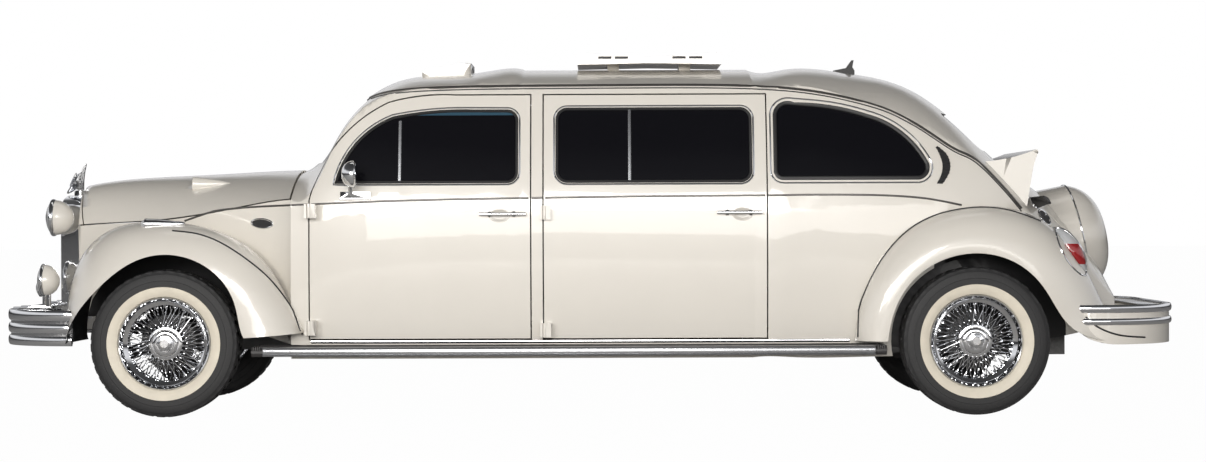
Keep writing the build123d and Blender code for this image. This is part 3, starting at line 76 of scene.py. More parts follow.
@dataclass(frozen=True)
class Finish:
    """One procedural finish: its colour, its gloss and the fine unevenness of its surface."""

    name: str
    color: tuple[float, float, float]
    rough: float = 0.4
    metal: float = 0.0
    coat: float = 0.0
    spread: float = 0.04
    grain: float = 60.0
    bump: float = 0.0
    glass: float = 0.0
    specular: float = 0.5

    def build(self) -> bpy.types.Material:
        """Builds the material.

        Returns:
            The material, painted in object coordinates.
        """
        label = self.name + "_finish"
        made = bpy.data.materials.get(label)
        if made:
            return made
        made = bpy.data.materials.new(label)
        made.use_nodes = True
        nodes, links = made.node_tree.nodes, made.node_tree.links
        shader = nodes["Principled BSDF"]
        place = nodes.new("ShaderNodeTexCoord")
        noise = nodes.new("ShaderNodeTexNoise")
        noise.inputs["Scale"].default_value = self.grain
        noise.inputs["Detail"].default_value = 4.0
        links.new(place.outputs["Object"], noise.inputs["Vector"])
        ramp = nodes.new("ShaderNodeValToRGB")
        ramp.color_ramp.elements[0].position = 0.3
        ramp.color_ramp.elements[1].position = 0.7
        ramp.color_ramp.elements[0].color = (*[c * (1 - self.spread) for c in self.color], 1)
        ramp.color_ramp.elements[1].color = (*[min(1.0, c * (1 + self.spread)) for c in self.color], 1)
        links.new(noise.outputs["Fac"], ramp.inputs["Fac"])
        links.new(ramp.outputs["Color"], shader.inputs["Base Color"])
        shader.inputs["Roughness"].default_value = self.rough
        shader.inputs["Metallic"].default_value = self.metal
        shader.inputs["Coat Weight"].default_value = self.coat
        shader.inputs["Coat Roughness"].default_value = 0.03
        shader.inputs["Specular IOR Level"].default_value = self.specular
        shader.inputs["Transmission Weight"].default_value = self.glass
        if self.bump:
            relief = nodes.new("ShaderNodeBump")
            relief.inputs["Strength"].default_value = self.bump
            relief.inputs["Distance"].default_value = 0.001
            links.new(noise.outputs["Fac"], relief.inputs["Height"])
            links.new(relief.outputs["Normal"], shader.inputs["Normal"])
        return made


PAINT = Finish("cream_paint", (0.80, 0.765, 0.70), 0.26, coat=0.9, spread=0.008, grain=6)
# Chrome mouldings given a dark grey colour: a painted dark reflection in place of their bright one
DARKENED_CHROME = Finish("moulding", (0.115, 0.11, 0.105), 0.28, metal=0.7, spread=0.04)
CHROME = Finish("chrome", (0.80, 0.81, 0.83), 0.07, metal=1.0, spread=0.02, grain=25)
SATIN_CHROME = Finish("satin_chrome", (0.52, 0.53, 0.55), 0.24, metal=1.0, spread=0.03)
GLASS = Finish("tinted_glass", (0.006, 0.006, 0.008), 0.04, spread=0.02, grain=4, specular=0.12)
BLUE_GLASS = Finish("blue_band_glass", (0.035, 0.085, 0.13), 0.05, coat=0.5, spread=0.03, grain=8)
CLEAR_LENS = Finish("clear_lens", (0.78, 0.80, 0.82), 0.08, glass=0.35, coat=1.0, spread=0.02)
RED_LENS = Finish("red_lens", (0.42, 0.012, 0.016), 0.10, glass=0.25, coat=1.0, spread=0.05)
SEAL = Finish("black_seal", (0.014, 0.014, 0.015), 0.45, bump=0.05)
MESH_BLACK = Finish("black_mesh", (0.02, 0.02, 0.022), 0.5, bump=0.6, grain=380)
RUBBER = Finish("tyre_rubber", (0.022, 0.022, 0.023), 0.62, spread=0.12, grain=140, bump=0.15)
WHITEWALL = Finish("whitewall", (0.78, 0.72, 0.60), 0.55, spread=0.05, grain=18, bump=0.05)
BOARD = Finish("board_rubber", (0.045, 0.043, 0.044), 0.42, spread=0.10, grain=90, bump=0.12)
STEEL = Finish("black_steel", (0.03, 0.03, 0.032), 0.42, spread=0.12, grain=30)
# The engine's casting: its grey darkened as painted shade under the car
SHADED_CASTING = Finish("engine_casting_painted_shade", (0.11, 0.11, 0.11), 0.5, metal=0.7, spread=0.12, grain=70, bump=0.3)
LEATHER = Finish("seat_leather", (0.075, 0.066, 0.058), 0.46, spread=0.10, grain=160, bump=0.35)
PLASTIC = Finish("dark_plastic", (0.028, 0.028, 0.030), 0.5, spread=0.08, grain=120, bump=0.10)
MIRROR = Finish("mirror_glass", (0.55, 0.58, 0.62), 0.02, metal=1.0)
# The handle's dish: the body paint darkened by a quarter, painted shade in the recess behind the handle
SHADED_DISH = Finish("shaded_handle_dish", (0.60, 0.57, 0.52), 0.30, coat=0.5, spread=0.02)


@dataclass
class Sculptor:
    """Makes bmesh pieces, finishes them and puts them in the scene on their bodies."""

    bm: bmesh.types.BMesh = field(default_factory=bmesh.new)

    def sweep(self, stations: Sequence[Sequence[Vector]], edge: Edge = Edge.OPEN, paint: int = 0) -> None:
        """Draws one section through a row of stations.

        Args:
            stations: The corners of the section at each station, in the same order.
            edge: Whether the row closes on itself.
            paint: The material slot of its faces.
        """
        known = set(self.bm.faces)
        rows = list(stations) + ([stations[0]] if edge is Edge.LOOP else [])
        verts = [self.bm.verts.new(v) for v in rows[0]]
        loop = [self.bm.edges.new((a, b)) for a, b in zip(verts, verts[1:] + verts[:1])]
        first = list(loop)
        for here, there in zip(rows, rows[1:]):
            moved = {tuple(round(c, 7) for c in v): w for v, w in zip(here, there)}
            made = bmesh.ops.extrude_edge_only(self.bm, edges=loop)["geom"]
            for vert in (g for g in made if isinstance(g, bmesh.types.BMVert)):
                key = tuple(round(c, 7) for c in vert.co)
                if key not in moved:
                    key = min(moved, key=lambda k: (Vector(k) - vert.co).length)
                vert.co = moved[key]
            fresh = {g for g in made if isinstance(g, bmesh.types.BMVert)}
            loop = [g for g in made if isinstance(g, bmesh.types.BMEdge) and set(g.verts) <= fresh]
        if edge is Edge.LOOP:
            bmesh.ops.remove_doubles(self.bm, verts=self.bm.verts, dist=MERGE)
        else:
            bmesh.ops.holes_fill(self.bm, edges=first)
            bmesh.ops.holes_fill(self.bm, edges=loop)
        for face in self.bm.faces:
            if face not in known:
                face.material_index = paint

    def tube(self, path: Sequence[Vector], radius: float, edge: Edge = Edge.OPEN, paint: int = 0,
             corners: int = 8, flat: float = 1.0) -> None:
        """Draws a round or flattened rod along a path.

        Args:
            path: The points of its centre line.
            radius: Its radius.
            edge: Whether the path closes on itself.
            paint: The material slot of its faces.
            corners: How many sides the section has.
            flat: Its thickness as a share of its width.
        """
        stations = []
        count = len(path)
        for i, spot in enumerate(path):
            if edge is Edge.LOOP:
                way = path[(i + 1) % count] - path[i - 1]
            else:
                way = path[min(i + 1, count - 1)] - path[max(i - 1, 0)]
            way.normalize()
            side = way.cross(Vector((0, 1, 0)))
            if side.length < 0.2:
                side = way.cross(Vector((0, 0, 1)))
            side.normalize()
            up = side.cross(way).normalized()
            stations.append([spot + side * (radius * cos(a)) + up * (radius * flat * sin(a))
                             for a in (tau * k / corners for k in range(corners))])
        self.sweep(stations, edge, paint)

    def spin(self, profile: Sequence[tuple[float, float]], origin: Vector, axis: Vector, steps: int = 48,
             paints: Sequence[int] | None = None) -> None:
        """Turns a profile about an axis.

        Args:
            profile: Pairs of place along the axis and radius.
            origin: Where the axis starts.
            axis: Its direction.
            steps: How many steps a full turn has.
            paints: A material slot for each line of the profile.
        """
        known = set(self.bm.faces)
        way = axis.normalized()
        out = way.orthogonal().normalized()
        verts = [self.bm.verts.new(origin + way * w + out * r) for w, r in profile]
        lines = [self.bm.edges.new(pair) for pair in zip(verts, verts[1:])]
        bmesh.ops.spin(self.bm, geom=verts + lines, cent=origin, axis=way, angle=tau, steps=steps,
                       use_merge=True)
        fresh = [v for v in self.bm.verts if not any(f in known for f in v.link_faces)]
        bmesh.ops.remove_doubles(self.bm, verts=fresh, dist=MERGE)
        if paints:
            for face in [f for f in self.bm.faces if f not in known]:
                gap = face.calc_center_median() - origin
                along, away = gap.dot(way), (gap - way * gap.dot(way)).length
                best = min(range(len(profile) - 1), key=lambda k: hypot(
                    along - (profile[k][0] + profile[k + 1][0]) / 2,
                    away - (profile[k][1] + profile[k + 1][1]) / 2))
                face.material_index = paints[best]

    def block(self, low: Sequence[float], high: Sequence[float], round_by: float = 0.0, paint: int = 0,
              segments: int = 2) -> list[bmesh.types.BMVert]:
        """Draws a box with rounded edges.

        Args:
            low: Its lowest corner.
            high: Its highest corner.
            round_by: The radius of its edges.
            paint: The material slot of its faces.
            segments: The steps of the rounding.

        Returns:
            The corners of the box.
        """
        known = set(self.bm.faces)
        a, b = Vector(low), Vector(high)
        size = Matrix.Diagonal((*(b - a), 1.0))
        made = bmesh.ops.create_cube(self.bm, size=1.0, matrix=Matrix.Translation((a + b) / 2) @ size)
        if round_by:
            edges = list({e for v in made["verts"] for e in v.link_edges})
            bmesh.ops.bevel(self.bm, geom=edges, offset=round_by, affect="EDGES", segments=segments,
                            profile=0.5, material=-1)
        fresh = [f for f in self.bm.faces if f not in known]
        for face in fresh:
            face.material_index = paint
        return list({v for f in fresh for v in f.verts})

    def place(self, name: str, body: str, slot: str, finishes: Sequence[Finish], crease: float = 35.0,
              stands_for: Sequence[str] = ()) -> bpy.types.Object:
        """Finishes the piece, links it to the scene and parents it to its body.

        Args:
            name: The piece's name.
            body: The CAD body it rides on.
            slot: The record's material slot; not used.
            finishes: Its finishes, in order of their slots.
            crease: The angle in degrees above which an edge stays sharp.
            stands_for: The CAD nodes it takes the place of.

        Returns:
            The finished object.
        """
        bmesh.ops.recalc_face_normals(self.bm, faces=self.bm.faces)
        mesh = bpy.data.meshes.new(name)
        self.bm.to_mesh(mesh)
        self.bm.free()
        mesh.polygons.foreach_set("use_smooth", [True] * len(mesh.polygons))
        mesh.set_sharp_from_angle(angle=radians(crease))
        for finish in finishes:
            mesh.materials.append(finish.build())
        made = bpy.data.objects.new(name, mesh)
        bpy.context.scene.collection.objects.link(made)
        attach(made, body)
        if stands_for:
            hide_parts(*stands_for)
        return made


class Skin:
    """The surface of some CAD nodes, to lay fine pieces on."""

    def __init__(self, *names: str) -> None:
        """Reads the surface.

        Args:
            names: The CAD nodes it is made of.
        """
        bm = bmesh.new()
        for name in names:
            bm.from_mesh(frame["nodes"][name].data)
        self.tree = BVHTree.FromBMesh(bm)
        bm.free()

    def at(self, x: float, z: float, side: int, lift: float = 0.0, spare: float = 0.62) -> Vector:
        """Finds the outer surface of one side.

        Args:
            x: The place along the car.
            z: The height.
            side: -1 for the left side, 1 for the right one.
            lift: How far the point stands off the surface.
            spare: The half-width used where there is no surface.

        Returns:
            The point on the surface.
        """
        spot, *_ = self.tree.ray_cast(Vector((x, side * BEYOND, z)), Vector((0, -side, 0)))
        y = abs(spot.y) if spot and spot.y * side > 0 else spare
        return Vector((x, side * (y + lift), z))

    def has(self, x: float, z: float, side: int) -> bool:
        """Tells whether there is a surface at one place of one side."""
        spot, *_ = self.tree.ray_cast(Vector((x, side * BEYOND, z)), Vector((0, -side, 0)))
        return spot is not None and spot.y * side > 0


def path_points(corners: Sequence[tuple[float, float]], pitch: float = 0.03) -> list[tuple[float, float]]:
    """Places points along a row of corners.

    Args:
        corners: The corners as pairs of x and z.
        pitch: The distance between two points.

    Returns:
        The points, ends included.
    """
    spots = [corners[0]]
    for a, b in zip(corners, corners[1:]):
        steps = max(1, round(hypot(b[0] - a[0], b[1] - a[1]) / pitch))
        spots += [(a[0] + (b[0] - a[0]) * k / steps, a[1] + (b[1] - a[1]) * k / steps)
                  for k in range(1, steps + 1)]
    return spots


def curve_points(corners: Sequence[tuple[float, float]], steps: int = 8) -> list[tuple[float, float]]:
    """Draws a smooth curve through a row of corners.

    Args:
        corners: The corners as pairs of x and z.
        steps: The points between two corners.

    Returns:
        The points of the curve.
    """
    row = [corners[0], *corners, corners[-1]]
    spots = []
    for a, b, c, d in zip(row, row[1:], row[2:], row[3:]):
        for k in range(steps):
            t = k / steps
            spots.append(tuple(0.5 * (2 * b[i] + (c[i] - a[i]) * t
                                      + (2 * a[i] - 5 * b[i] + 4 * c[i] - d[i]) * t ** 2
                                      + (3 * b[i] - a[i] - 3 * c[i] + d[i]) * t ** 3) for i in (0, 1)))
    return spots + [corners[-1]]


def oval(x: float, z: float, half_long: float, half_wide: float, lean: float = 0.0,
         count: int = 40, power: float = 1.0) -> list[tuple[float, float]]:
    """Draws an oval.

    Args:
        x: The place of its centre along the car.
        z: The height of its centre.
        half_long: Half its length.
        half_wide: Half its width.
        lean: How far its long axis leans from the level, in degrees.
        count: The number of points.
        power: Above 1 the ends get more pointed.

    Returns:
        The points of the oval.
    """
    c, s = cos(radians(lean)), sin(radians(lean))
    spots = []
    for k in range(count):
        a = tau * k / count
        u, v = half_long * cos(a), half_wide * abs(sin(a)) ** power * (1 if sin(a) > 0 else -1)
        spots.append((x + u * c - v * s, z + u * s + v * c))
    return spots


def outline_of(name: str, pick: Callable[[Vector], bool] = lambda v: True) -> list[tuple[float, float]]:
    """Reads the side outline of a convex CAD pane.

    Args:
        name: The CAD node.
        pick: Tells the points that belong to the pane.

    Returns:
        The outline as pairs of x and z, in order.
    """
    corners = frame["nodes"][name].data.vertices
    flat = sorted({(round(v.co.x, 5), round(v.co.z, 5)) for v in corners if pick(v.co)})

    def half(points: Iterable[tuple[float, float]]) -> list[tuple[float, float]]:
        """Gathers one side of the hull."""
        chain: list[tuple[float, float]] = []
        for p in points:
            while len(chain) > 1:
                (ax, az), (bx, bz) = chain[-2], chain[-1]
                if (bx - ax) * (p[1] - az) - (bz - az) * (p[0] - ax) > 1e-9:
                    break
                chain.pop()
            chain.append(p)
        return chain

    lower, upper = half(flat), half(reversed(flat))
    ring = lower[:-1] + upper[:-1]
    return path_points(ring + [ring[0]], 0.02)[:-1]


def offset_ring(ring: Sequence[tuple[float, float]], by: float) -> list[tuple[float, float]]:
    """Moves the points of a ring outwards.

    Args:
        ring: The ring as pairs of x and z, turning anticlockwise.
        by: The distance, negative to move them inwards.

    Returns:
        The moved points.
    """
    moved = []
    for i, (x, z) in enumerate(ring):
        (ax, az), (bx, bz) = ring[i - 2], ring[(i + 2) % len(ring)]
        dx, dz = bx - ax, bz - az
        size = hypot(dx, dz) or 1.0
        moved.append((x + dz / size * by, z - dx / size * by))
    return moved


BODY_OF = {node: body for body, nodes in frame["record"]["behaviour"]["bodies"].items() for node in nodes}
SLOT_OF = {part["node"]: part["material_slot"] for part in frame["record"]["subparts"]}


@dataclass(frozen=True)
class Sheetmetal:
    """A CAD node shown as it is, its triangles joined and its shading smoothed.

    Attributes:
        node: The CAD node.
        finishes: Its finishes, in order of their slots.
        crease: The angle in degrees above which an edge stays sharp.
        cuts: Cuts that split its faces, as pairs of an axis and a place on it.
        paint: Gives the slot of a face.
        shape: Moves a corner, after the cuts.
        planes: Slanted cuts, as pairs of a place and the way across.
        foot: The height below which the node is left out.
    """

    node: str
    finishes: tuple[Finish, ...]
    crease: float = 28.0
    cuts: tuple[tuple[int, float], ...] = ()
    paint: Callable[[bmesh.types.BMFace], int] = lambda face: 0
    shape: Callable[[Vector], Vector] = lambda spot: spot
    planes: tuple[tuple[Vector, Vector], ...] = ()
    foot: float = -1.0

    def build(self) -> bpy.types.Object:
        """Builds the shown copy.

        Returns:
            The finished object.
        """
        piece = Sculptor()
        piece.bm.from_mesh(frame["nodes"][self.node].data)
        bmesh.ops.remove_doubles(piece.bm, verts=piece.bm.verts, dist=MERGE)
        units = Matrix.Identity(3)
        level = [(units[axis] * place, units[axis]) for axis, place in self.cuts]
        for spot, way in (*level, *self.planes):
            bmesh.ops.bisect_plane(piece.bm, geom=[*piece.bm.verts, *piece.bm.edges, *piece.bm.faces],
                                   plane_co=spot, plane_no=way)
        bmesh.ops.bisect_plane(piece.bm, geom=[*piece.bm.verts, *piece.bm.edges, *piece.bm.faces],
                               plane_co=(0, 0, self.foot), plane_no=(0, 0, -1), clear_outer=True)
        bmesh.ops.holes_fill(piece.bm, edges=[edge for edge in piece.bm.edges if edge.is_boundary])
        for vert in piece.bm.verts:
            vert.co = self.shape(vert.co)
        piece.bm.normal_update()
        for face in piece.bm.faces:
            face.material_index = self.paint(face)
        made = piece.place(self.node + "_skin", BODY_OF[self.node], SLOT_OF[self.node], self.finishes,
                           self.crease, (self.node,))
        even = made.modifiers.new("even_normals", "WEIGHTED_NORMAL")
        even.keep_sharp, even.weight = True, 80
        return made


@dataclass(frozen=True)
class Trim:
    """A thin strip laid on the skin along a row of places."""

    name: str
    body: str
    slot: str
    finish: Finish
    radius: float
    flat: float = 0.6

    def build(self, skin: Skin, side: int, places: Sequence[tuple[float, float]], edge: Edge = Edge.OPEN,
              lift: float = 0.0) -> bpy.types.Object:
        """Lays the strip on one side of the car.

        Args:
            skin: The surface it lies on.
            side: -1 for the left side, 1 for the right one.
            places: Its places as pairs of x and z.
            edge: Whether it closes on itself.
            lift: How far its centre stands off.

        Returns:
            The finished object.
        """
        piece = Sculptor()
        stations = []
        spots = [skin.at(x, z, side, lift) for x, z in places if skin.has(x, z, side)]
        count = len(spots)
        for i, spot in enumerate(spots):
            if edge is Edge.LOOP:
                way = spots[(i + 1) % count] - spots[i - 1]
            else:
                way = spots[min(i + 1, count - 1)] - spots[max(i - 1, 0)]
            out = Vector((0, side, 0))
            across = way.cross(out).normalized()
            out = across.cross(way).normalized()
            out = out if out.y * side > 0 else -out
            stations.append([spot + across * (self.radius * cos(a)) + out * (self.radius * self.flat * sin(a))
                             for a in (tau * k / 8 for k in range(8))])
        piece.sweep(stations, edge)
        return piece.place(f"{self.name}_{SIDE_NAME[side]}", self.body, self.slot, [self.finish])


def build_patch(name: str, skin: Skin, side: int, ring: Sequence[tuple[float, float]]) -> bpy.types.Object:
    """Fills a ring on the skin of the car's body with a thin dark plate.

    Args:
        name: The piece's name.
        skin: The surface it lies on.
        side: -1 for the left side, 1 for the right one.
        ring: The ring as pairs of x and z.

    Returns:
        The finished object.
    """
    x, z = sum(p[0] for p in ring) / len(ring), sum(p[1] for p in ring) / len(ring)
    piece = Sculptor()
    piece.sweep([[skin.at(px + (x - px) * share, pz + (z - pz) * share, side, rise) for px, pz in ring]
                 for share, rise in ((0.0, -0.002), (0.02, 0.0012), (0.5, 0.0012), (0.85, 0.0012))])
    return piece.place(f"{name}_{SIDE_NAME[side]}", ROOT, "dark_plastic", [MESH_BLACK])


@dataclass(frozen=True)
class Wheel:
    """A wire wheel with its whitewall tyre.

    A profile's points are pairs of place along the axis and radius.
    """

    name: str
    x: float
    y: float
    side: int
    rim: Row = ((0.072, 0.200), (0.074, 0.197), (0.072, 0.193), (0.060, 0.188), (0.040, 0.185),
                (0.033, 0.178), (0.026, 0.166), (0.0, 0.164), (-0.026, 0.166), (-0.040, 0.185),
                (-0.060, 0.187), (-0.072, 0.193), (-0.072, 0.200), (-0.064, 0.192), (-0.040, 0.189), (-0.028, 0.171),
                (0.028, 0.171), (0.040, 0.189), (0.064, 0.192), (0.072, 0.200))
    boss: Row = ((-0.002, 0.0), (-0.002, 0.028), (0.030, 0.030), (0.033, 0.070), (0.036, 0.073),
                 (0.041, 0.073), (0.043, 0.068), (0.043, 0.058), (0.047, 0.055), (0.050, 0.048),
                 (0.050, 0.040), (0.056, 0.037), (0.056, 0.0))
    # For each set of spokes: pairs, foot's radius and place, tip's radius and place, lean in degrees
    spokes: tuple[tuple[int, float, float, float, float, float], ...] = (
        (24, 0.069, 0.042, 0.166, 0.010, 13.0), (24, 0.066, 0.034, 0.167, -0.012, 22.0))
    spoke_r: float = 0.0019
    nipple_r: float = 0.0036
    # For each step of the cap: depth, inner and outer radius, place
    cap: tuple[tuple[float, float, float, float], ...] = (
        (0.006, 0.040, 0.037, 0.057), (0.012, 0.033, 0.030, 0.066))
    cap_button: Row = ((0.071, 0.020), (0.0735, 0.017), (0.0735, 0.0))
    tyre_wall: Row = ((0.070, 0.2005), (0.078, 0.204), (0.086, 0.216), (0.0905, 0.2300), (0.0920, 0.2435),
                      (0.0935, 0.2450), (0.0938, 0.2600), (0.0938, 0.2700), (0.0925, 0.2720),
                      (0.0920, 0.2860), (0.0880, 0.2990), (0.0860, 0.3000), (0.0800, 0.3105),
                      (0.0740, 0.3150))
    white_band: tuple[float, float] = (0.2005, 0.2442)
    # The tread: the places of its grooves' walls, the radius on and between them, its blocks
    groove_walls: tuple[float, ...] = (0.050, 0.044, 0.019, 0.013)
    crown_r: float = 0.3160
    groove_r: float = 0.3090
    block_from_r: float = 0.3118
    block_half: float = 0.081
    block_rise: float = 0.0024
    tread_steps: int = 120

    @property
    def hub(self) -> Vector:
        """The centre of the wheel."""
        return Vector((self.x, self.side * self.y, HUB_Z))

    @property
    def axis(self) -> Vector:
        """The way out of the car."""
        return Vector((0, self.side, 0))

    def spot(self, w: float, r: float, turn: float) -> Vector:
        """A place on the wheel.

        Args:
            w: The distance out along the axis.
            r: The radius.
            turn: The angle about the axis in degrees.

        Returns:
            The place in the car's frame.
        """
        a = radians(turn)
        return self.hub + self.axis * w + Vector((r * cos(a), 0, r * sin(a)))

    def build_rim(self) -> None:
        """Builds the rim, the hub, the laced spokes and the cap."""
        piece = Sculptor()
        piece.spin(self.rim, self.hub, self.axis, 72)
        piece.spin(self.boss, self.hub, self.axis, 48)
        for count, foot_r, foot_w, tip_r, tip_w, lean in self.spokes:
            for k in range(count):
                for way in (-1, 1):
                    foot = 360.0 / count * (k + 0.25 * way)
                    self.spoke(piece, (foot_w + 0.001 * way, foot_r, foot), (tip_w, tip_r, foot + way * lean))
        piece.place(f"wire_wheel_{self.name}", f"wheel_{self.name}", "bright_chrome", [CHROME], 32.0,
                    (f"wheel_{self.name}",))
        self.build_cap()

    def spoke(self, piece: Sculptor, foot: Sequence[float], tip: Sequence[float]) -> None:
        """Draws one spoke with its nipple.

        Args:
            piece: The piece it belongs to.
            foot: Its place on the hub as axis distance, radius and angle.
            tip: Its place on the rim in the same way.
        """
        a, b = self.spot(*foot), self.spot(*tip)
        piece.tube([a, b], self.spoke_r, corners=5)
        piece.tube([b + (a - b) * 0.12, b], self.nipple_r, corners=6)

    def build_cap(self) -> None:
        """Builds the six-sided cap on the hub."""
        piece = Sculptor()
        turn = self.axis.to_track_quat("Z", "X").to_matrix().to_4x4()
        for depth, low, high, w in self.cap:
            spot = Matrix.Translation(self.hub + self.axis * w) @ turn
            made = bmesh.ops.create_cone(piece.bm, cap_ends=True, segments=6, radius1=low, radius2=high,
                                         depth=depth, matrix=spot)
            edges = list({e for v in made["verts"] for e in v.link_edges})
            bmesh.ops.bevel(piece.bm, geom=edges, offset=0.0015, affect="EDGES", segments=2, profile=0.5,
                            material=-1)
        piece.spin(self.cap_button, self.hub, self.axis, 32)
        piece.place(f"hub_cap_{self.name}", f"wheel_{self.name}", "bright_chrome", [CHROME])

    def build_tyre(self) -> None:
        """Builds the tyre with its white band and cut tread."""
        piece = Sculptor()
        crown = []
        for k, w in enumerate(self.groove_walls, 1):
            pair = [(w, self.crown_r), (w, self.groove_r)]
            crown += pair if k % 2 else pair[::-1]
        side = [*self.tyre_wall, *crown]
        profile = side + [(-w, r) for w, r in reversed(side)] + [side[0]]
        piece.spin(profile, self.hub, self.axis, self.tread_steps)
        blocks = []
        for face in piece.bm.faces:
            gap = face.calc_center_median() - self.hub
            w, r = gap.dot(self.axis), hypot(gap.x, gap.z)
            if w > 0 and self.white_band[0] < r < self.white_band[1]:
                face.material_index = 1
            step = int((atan2(gap.z, gap.x) + pi) / tau * self.tread_steps + (0.5 if w > 0 else 1.5))
            if r > self.block_from_r and abs(w) < self.block_half and step % 3:
                blocks.append(face)
        raised = bmesh.ops.extrude_discrete_faces(piece.bm, faces=blocks)["faces"]
        for face in raised:
            spot = face.calc_center_median() - self.hub
            away = Vector((spot.x, 0, spot.z)).normalized()
            bmesh.ops.translate(piece.bm, vec=away * self.block_rise, verts=face.verts)
        piece.place(f"whitewall_tyre_{self.name}", f"wheel_{self.name}", "tyre_rubber",
                    [RUBBER, WHITEWALL], 30.0, (f"tyre_{self.name}",))

    def build(self) -> None:
        """Builds the whole wheel."""
        self.build_rim()
        self.build_tyre()


@dataclass(frozen=True)
class Door:
    """The looks of one door: window frame, divider, belt moulding, handle dish.

    Attributes:
        end: Which door it is, front or rear.
        side: -1 for the left side, 1 for the right one.
        front_x: The place of its front edge.
        divider_x: The place of the post between its panes.
        dish: The place, the height and the half-length of the handle's dish.
        belt: The belt moulding as pairs of x and z.
        hinge_long: How far the painted hinges reach from the front edge.
        band: The depth of the blue band on the windscreen side's glass.
        dish_half: Half the dish's height.
        dish_rings: The dish from its edge to its middle, as pairs of a share of its size and a rise.
    """

    end: str
    side: int
    front_x: float
    divider_x: float
    dish: tuple[float, float, float]
    belt: Row
    hinge_long: float = 0.050
    band: float = 0.026
    dish_half: float = 0.030
    dish_rings: Row = ((0.0, -0.001), (0.04, 0.0025), (0.14, 0.0028), (0.26, 0.0008), (0.6, 0.0006))

    @property
    def body(self) -> str:
        """The CAD body of the door."""
        return f"door_{self.end}_{SIDE_NAME[self.side]}"

    def build(self, skin: Skin) -> None:
        """Builds the door's fine pieces.

        Args:
            skin: The surface of the car's sides.
        """
        label = SIDE_NAME[self.side]
        glass = f"door_{self.end}_glass_{label}"
        hinge_x = self.front_x + self.hinge_long
        Sheetmetal(self.body, (PAINT,)).build()
        Sheetmetal(f"door_{self.end}_trim_{label}", (CHROME, PAINT), 32.0,
                   paint=lambda face: int(face.calc_center_median().x < hinge_x)).build()
        band_z = max(v.co.z for v in frame["nodes"][glass].data.vertices) - self.band
        Sheetmetal(glass, (GLASS, BLUE_GLASS), cuts=((2, band_z),),
                   paint=lambda face: int(self.end == "front" and face.calc_center_median().z > band_z)
                   ).build()
        ring = outline_of(glass)
        pane = Skin(glass)
        Trim(f"window_seal_{self.end}", self.body, "dark_plastic", SEAL, 0.009, 0.8).build(
            skin, self.side, offset_ring(ring, -0.004), Edge.LOOP, 0.004)
        Trim(f"window_bright_{self.end}", self.body, "bright_chrome", CHROME, 0.0045, 0.8).build(
            skin, self.side, offset_ring(ring, 0.0065), Edge.LOOP, 0.0005)
        low = min(z for _, z in ring) + 0.004
        high = max(z for x, z in ring if abs(x - self.divider_x) < 0.06)
        post = path_points([(self.divider_x, low), (self.divider_x, high - 0.004)])
        Trim(f"window_post_{self.end}", self.body, "bright_chrome", SATIN_CHROME, 0.008, 0.7).build(
            pane, self.side, post, lift=0.003)
        # The belt moulding is chrome darkened as a painted dark reflection
        Trim(f"belt_moulding_{self.end}", self.body, "bright_chrome", DARKENED_CHROME, 0.0045, 0.7).build(
            skin, self.side, path_points(self.belt))
        self.build_dish(skin)

    def build_dish(self, skin: Skin) -> None:
        """Builds the shallow dish behind the handle, in darkened body paint as painted shade."""
        x, z, half = self.dish
        ring = oval(x, z, half, self.dish_half, count=36)
        piece = Sculptor()
        piece.sweep([[skin.at(px + (x - px) * share, pz + (z - pz) * share, self.side, lift)
                      for px, pz in ring] for share, lift in self.dish_rings])
        # The dish gets the darkened paint, a painted shade
        piece.place(f"shaded_handle_dish_{self.end}_{SIDE_NAME[self.side]}", self.body, "body_paint", [SHADED_DISH])


PLAIN_NODES: dict[str, Finish] = {
    "roof": PAINT, "body_sides": PAINT, "cowl": PAINT, "hood": PAINT, "engine_lid": PAINT, "spoiler": PAINT,
    "hinge_leaves": PAINT, "roof_pod": PAINT, "fixed_glass": GLASS, "ornament": CHROME,
    "running_boards": BOARD, "floor_pan": STEEL, "front_axle_beam": STEEL, "rear_axle": STEEL,
    # The engine gets the casting finish darkened as painted shade
    "knuckle_left": STEEL, "knuckle_right": STEEL, "engine": SHADED_CASTING, "dashboard": PLASTIC,
}


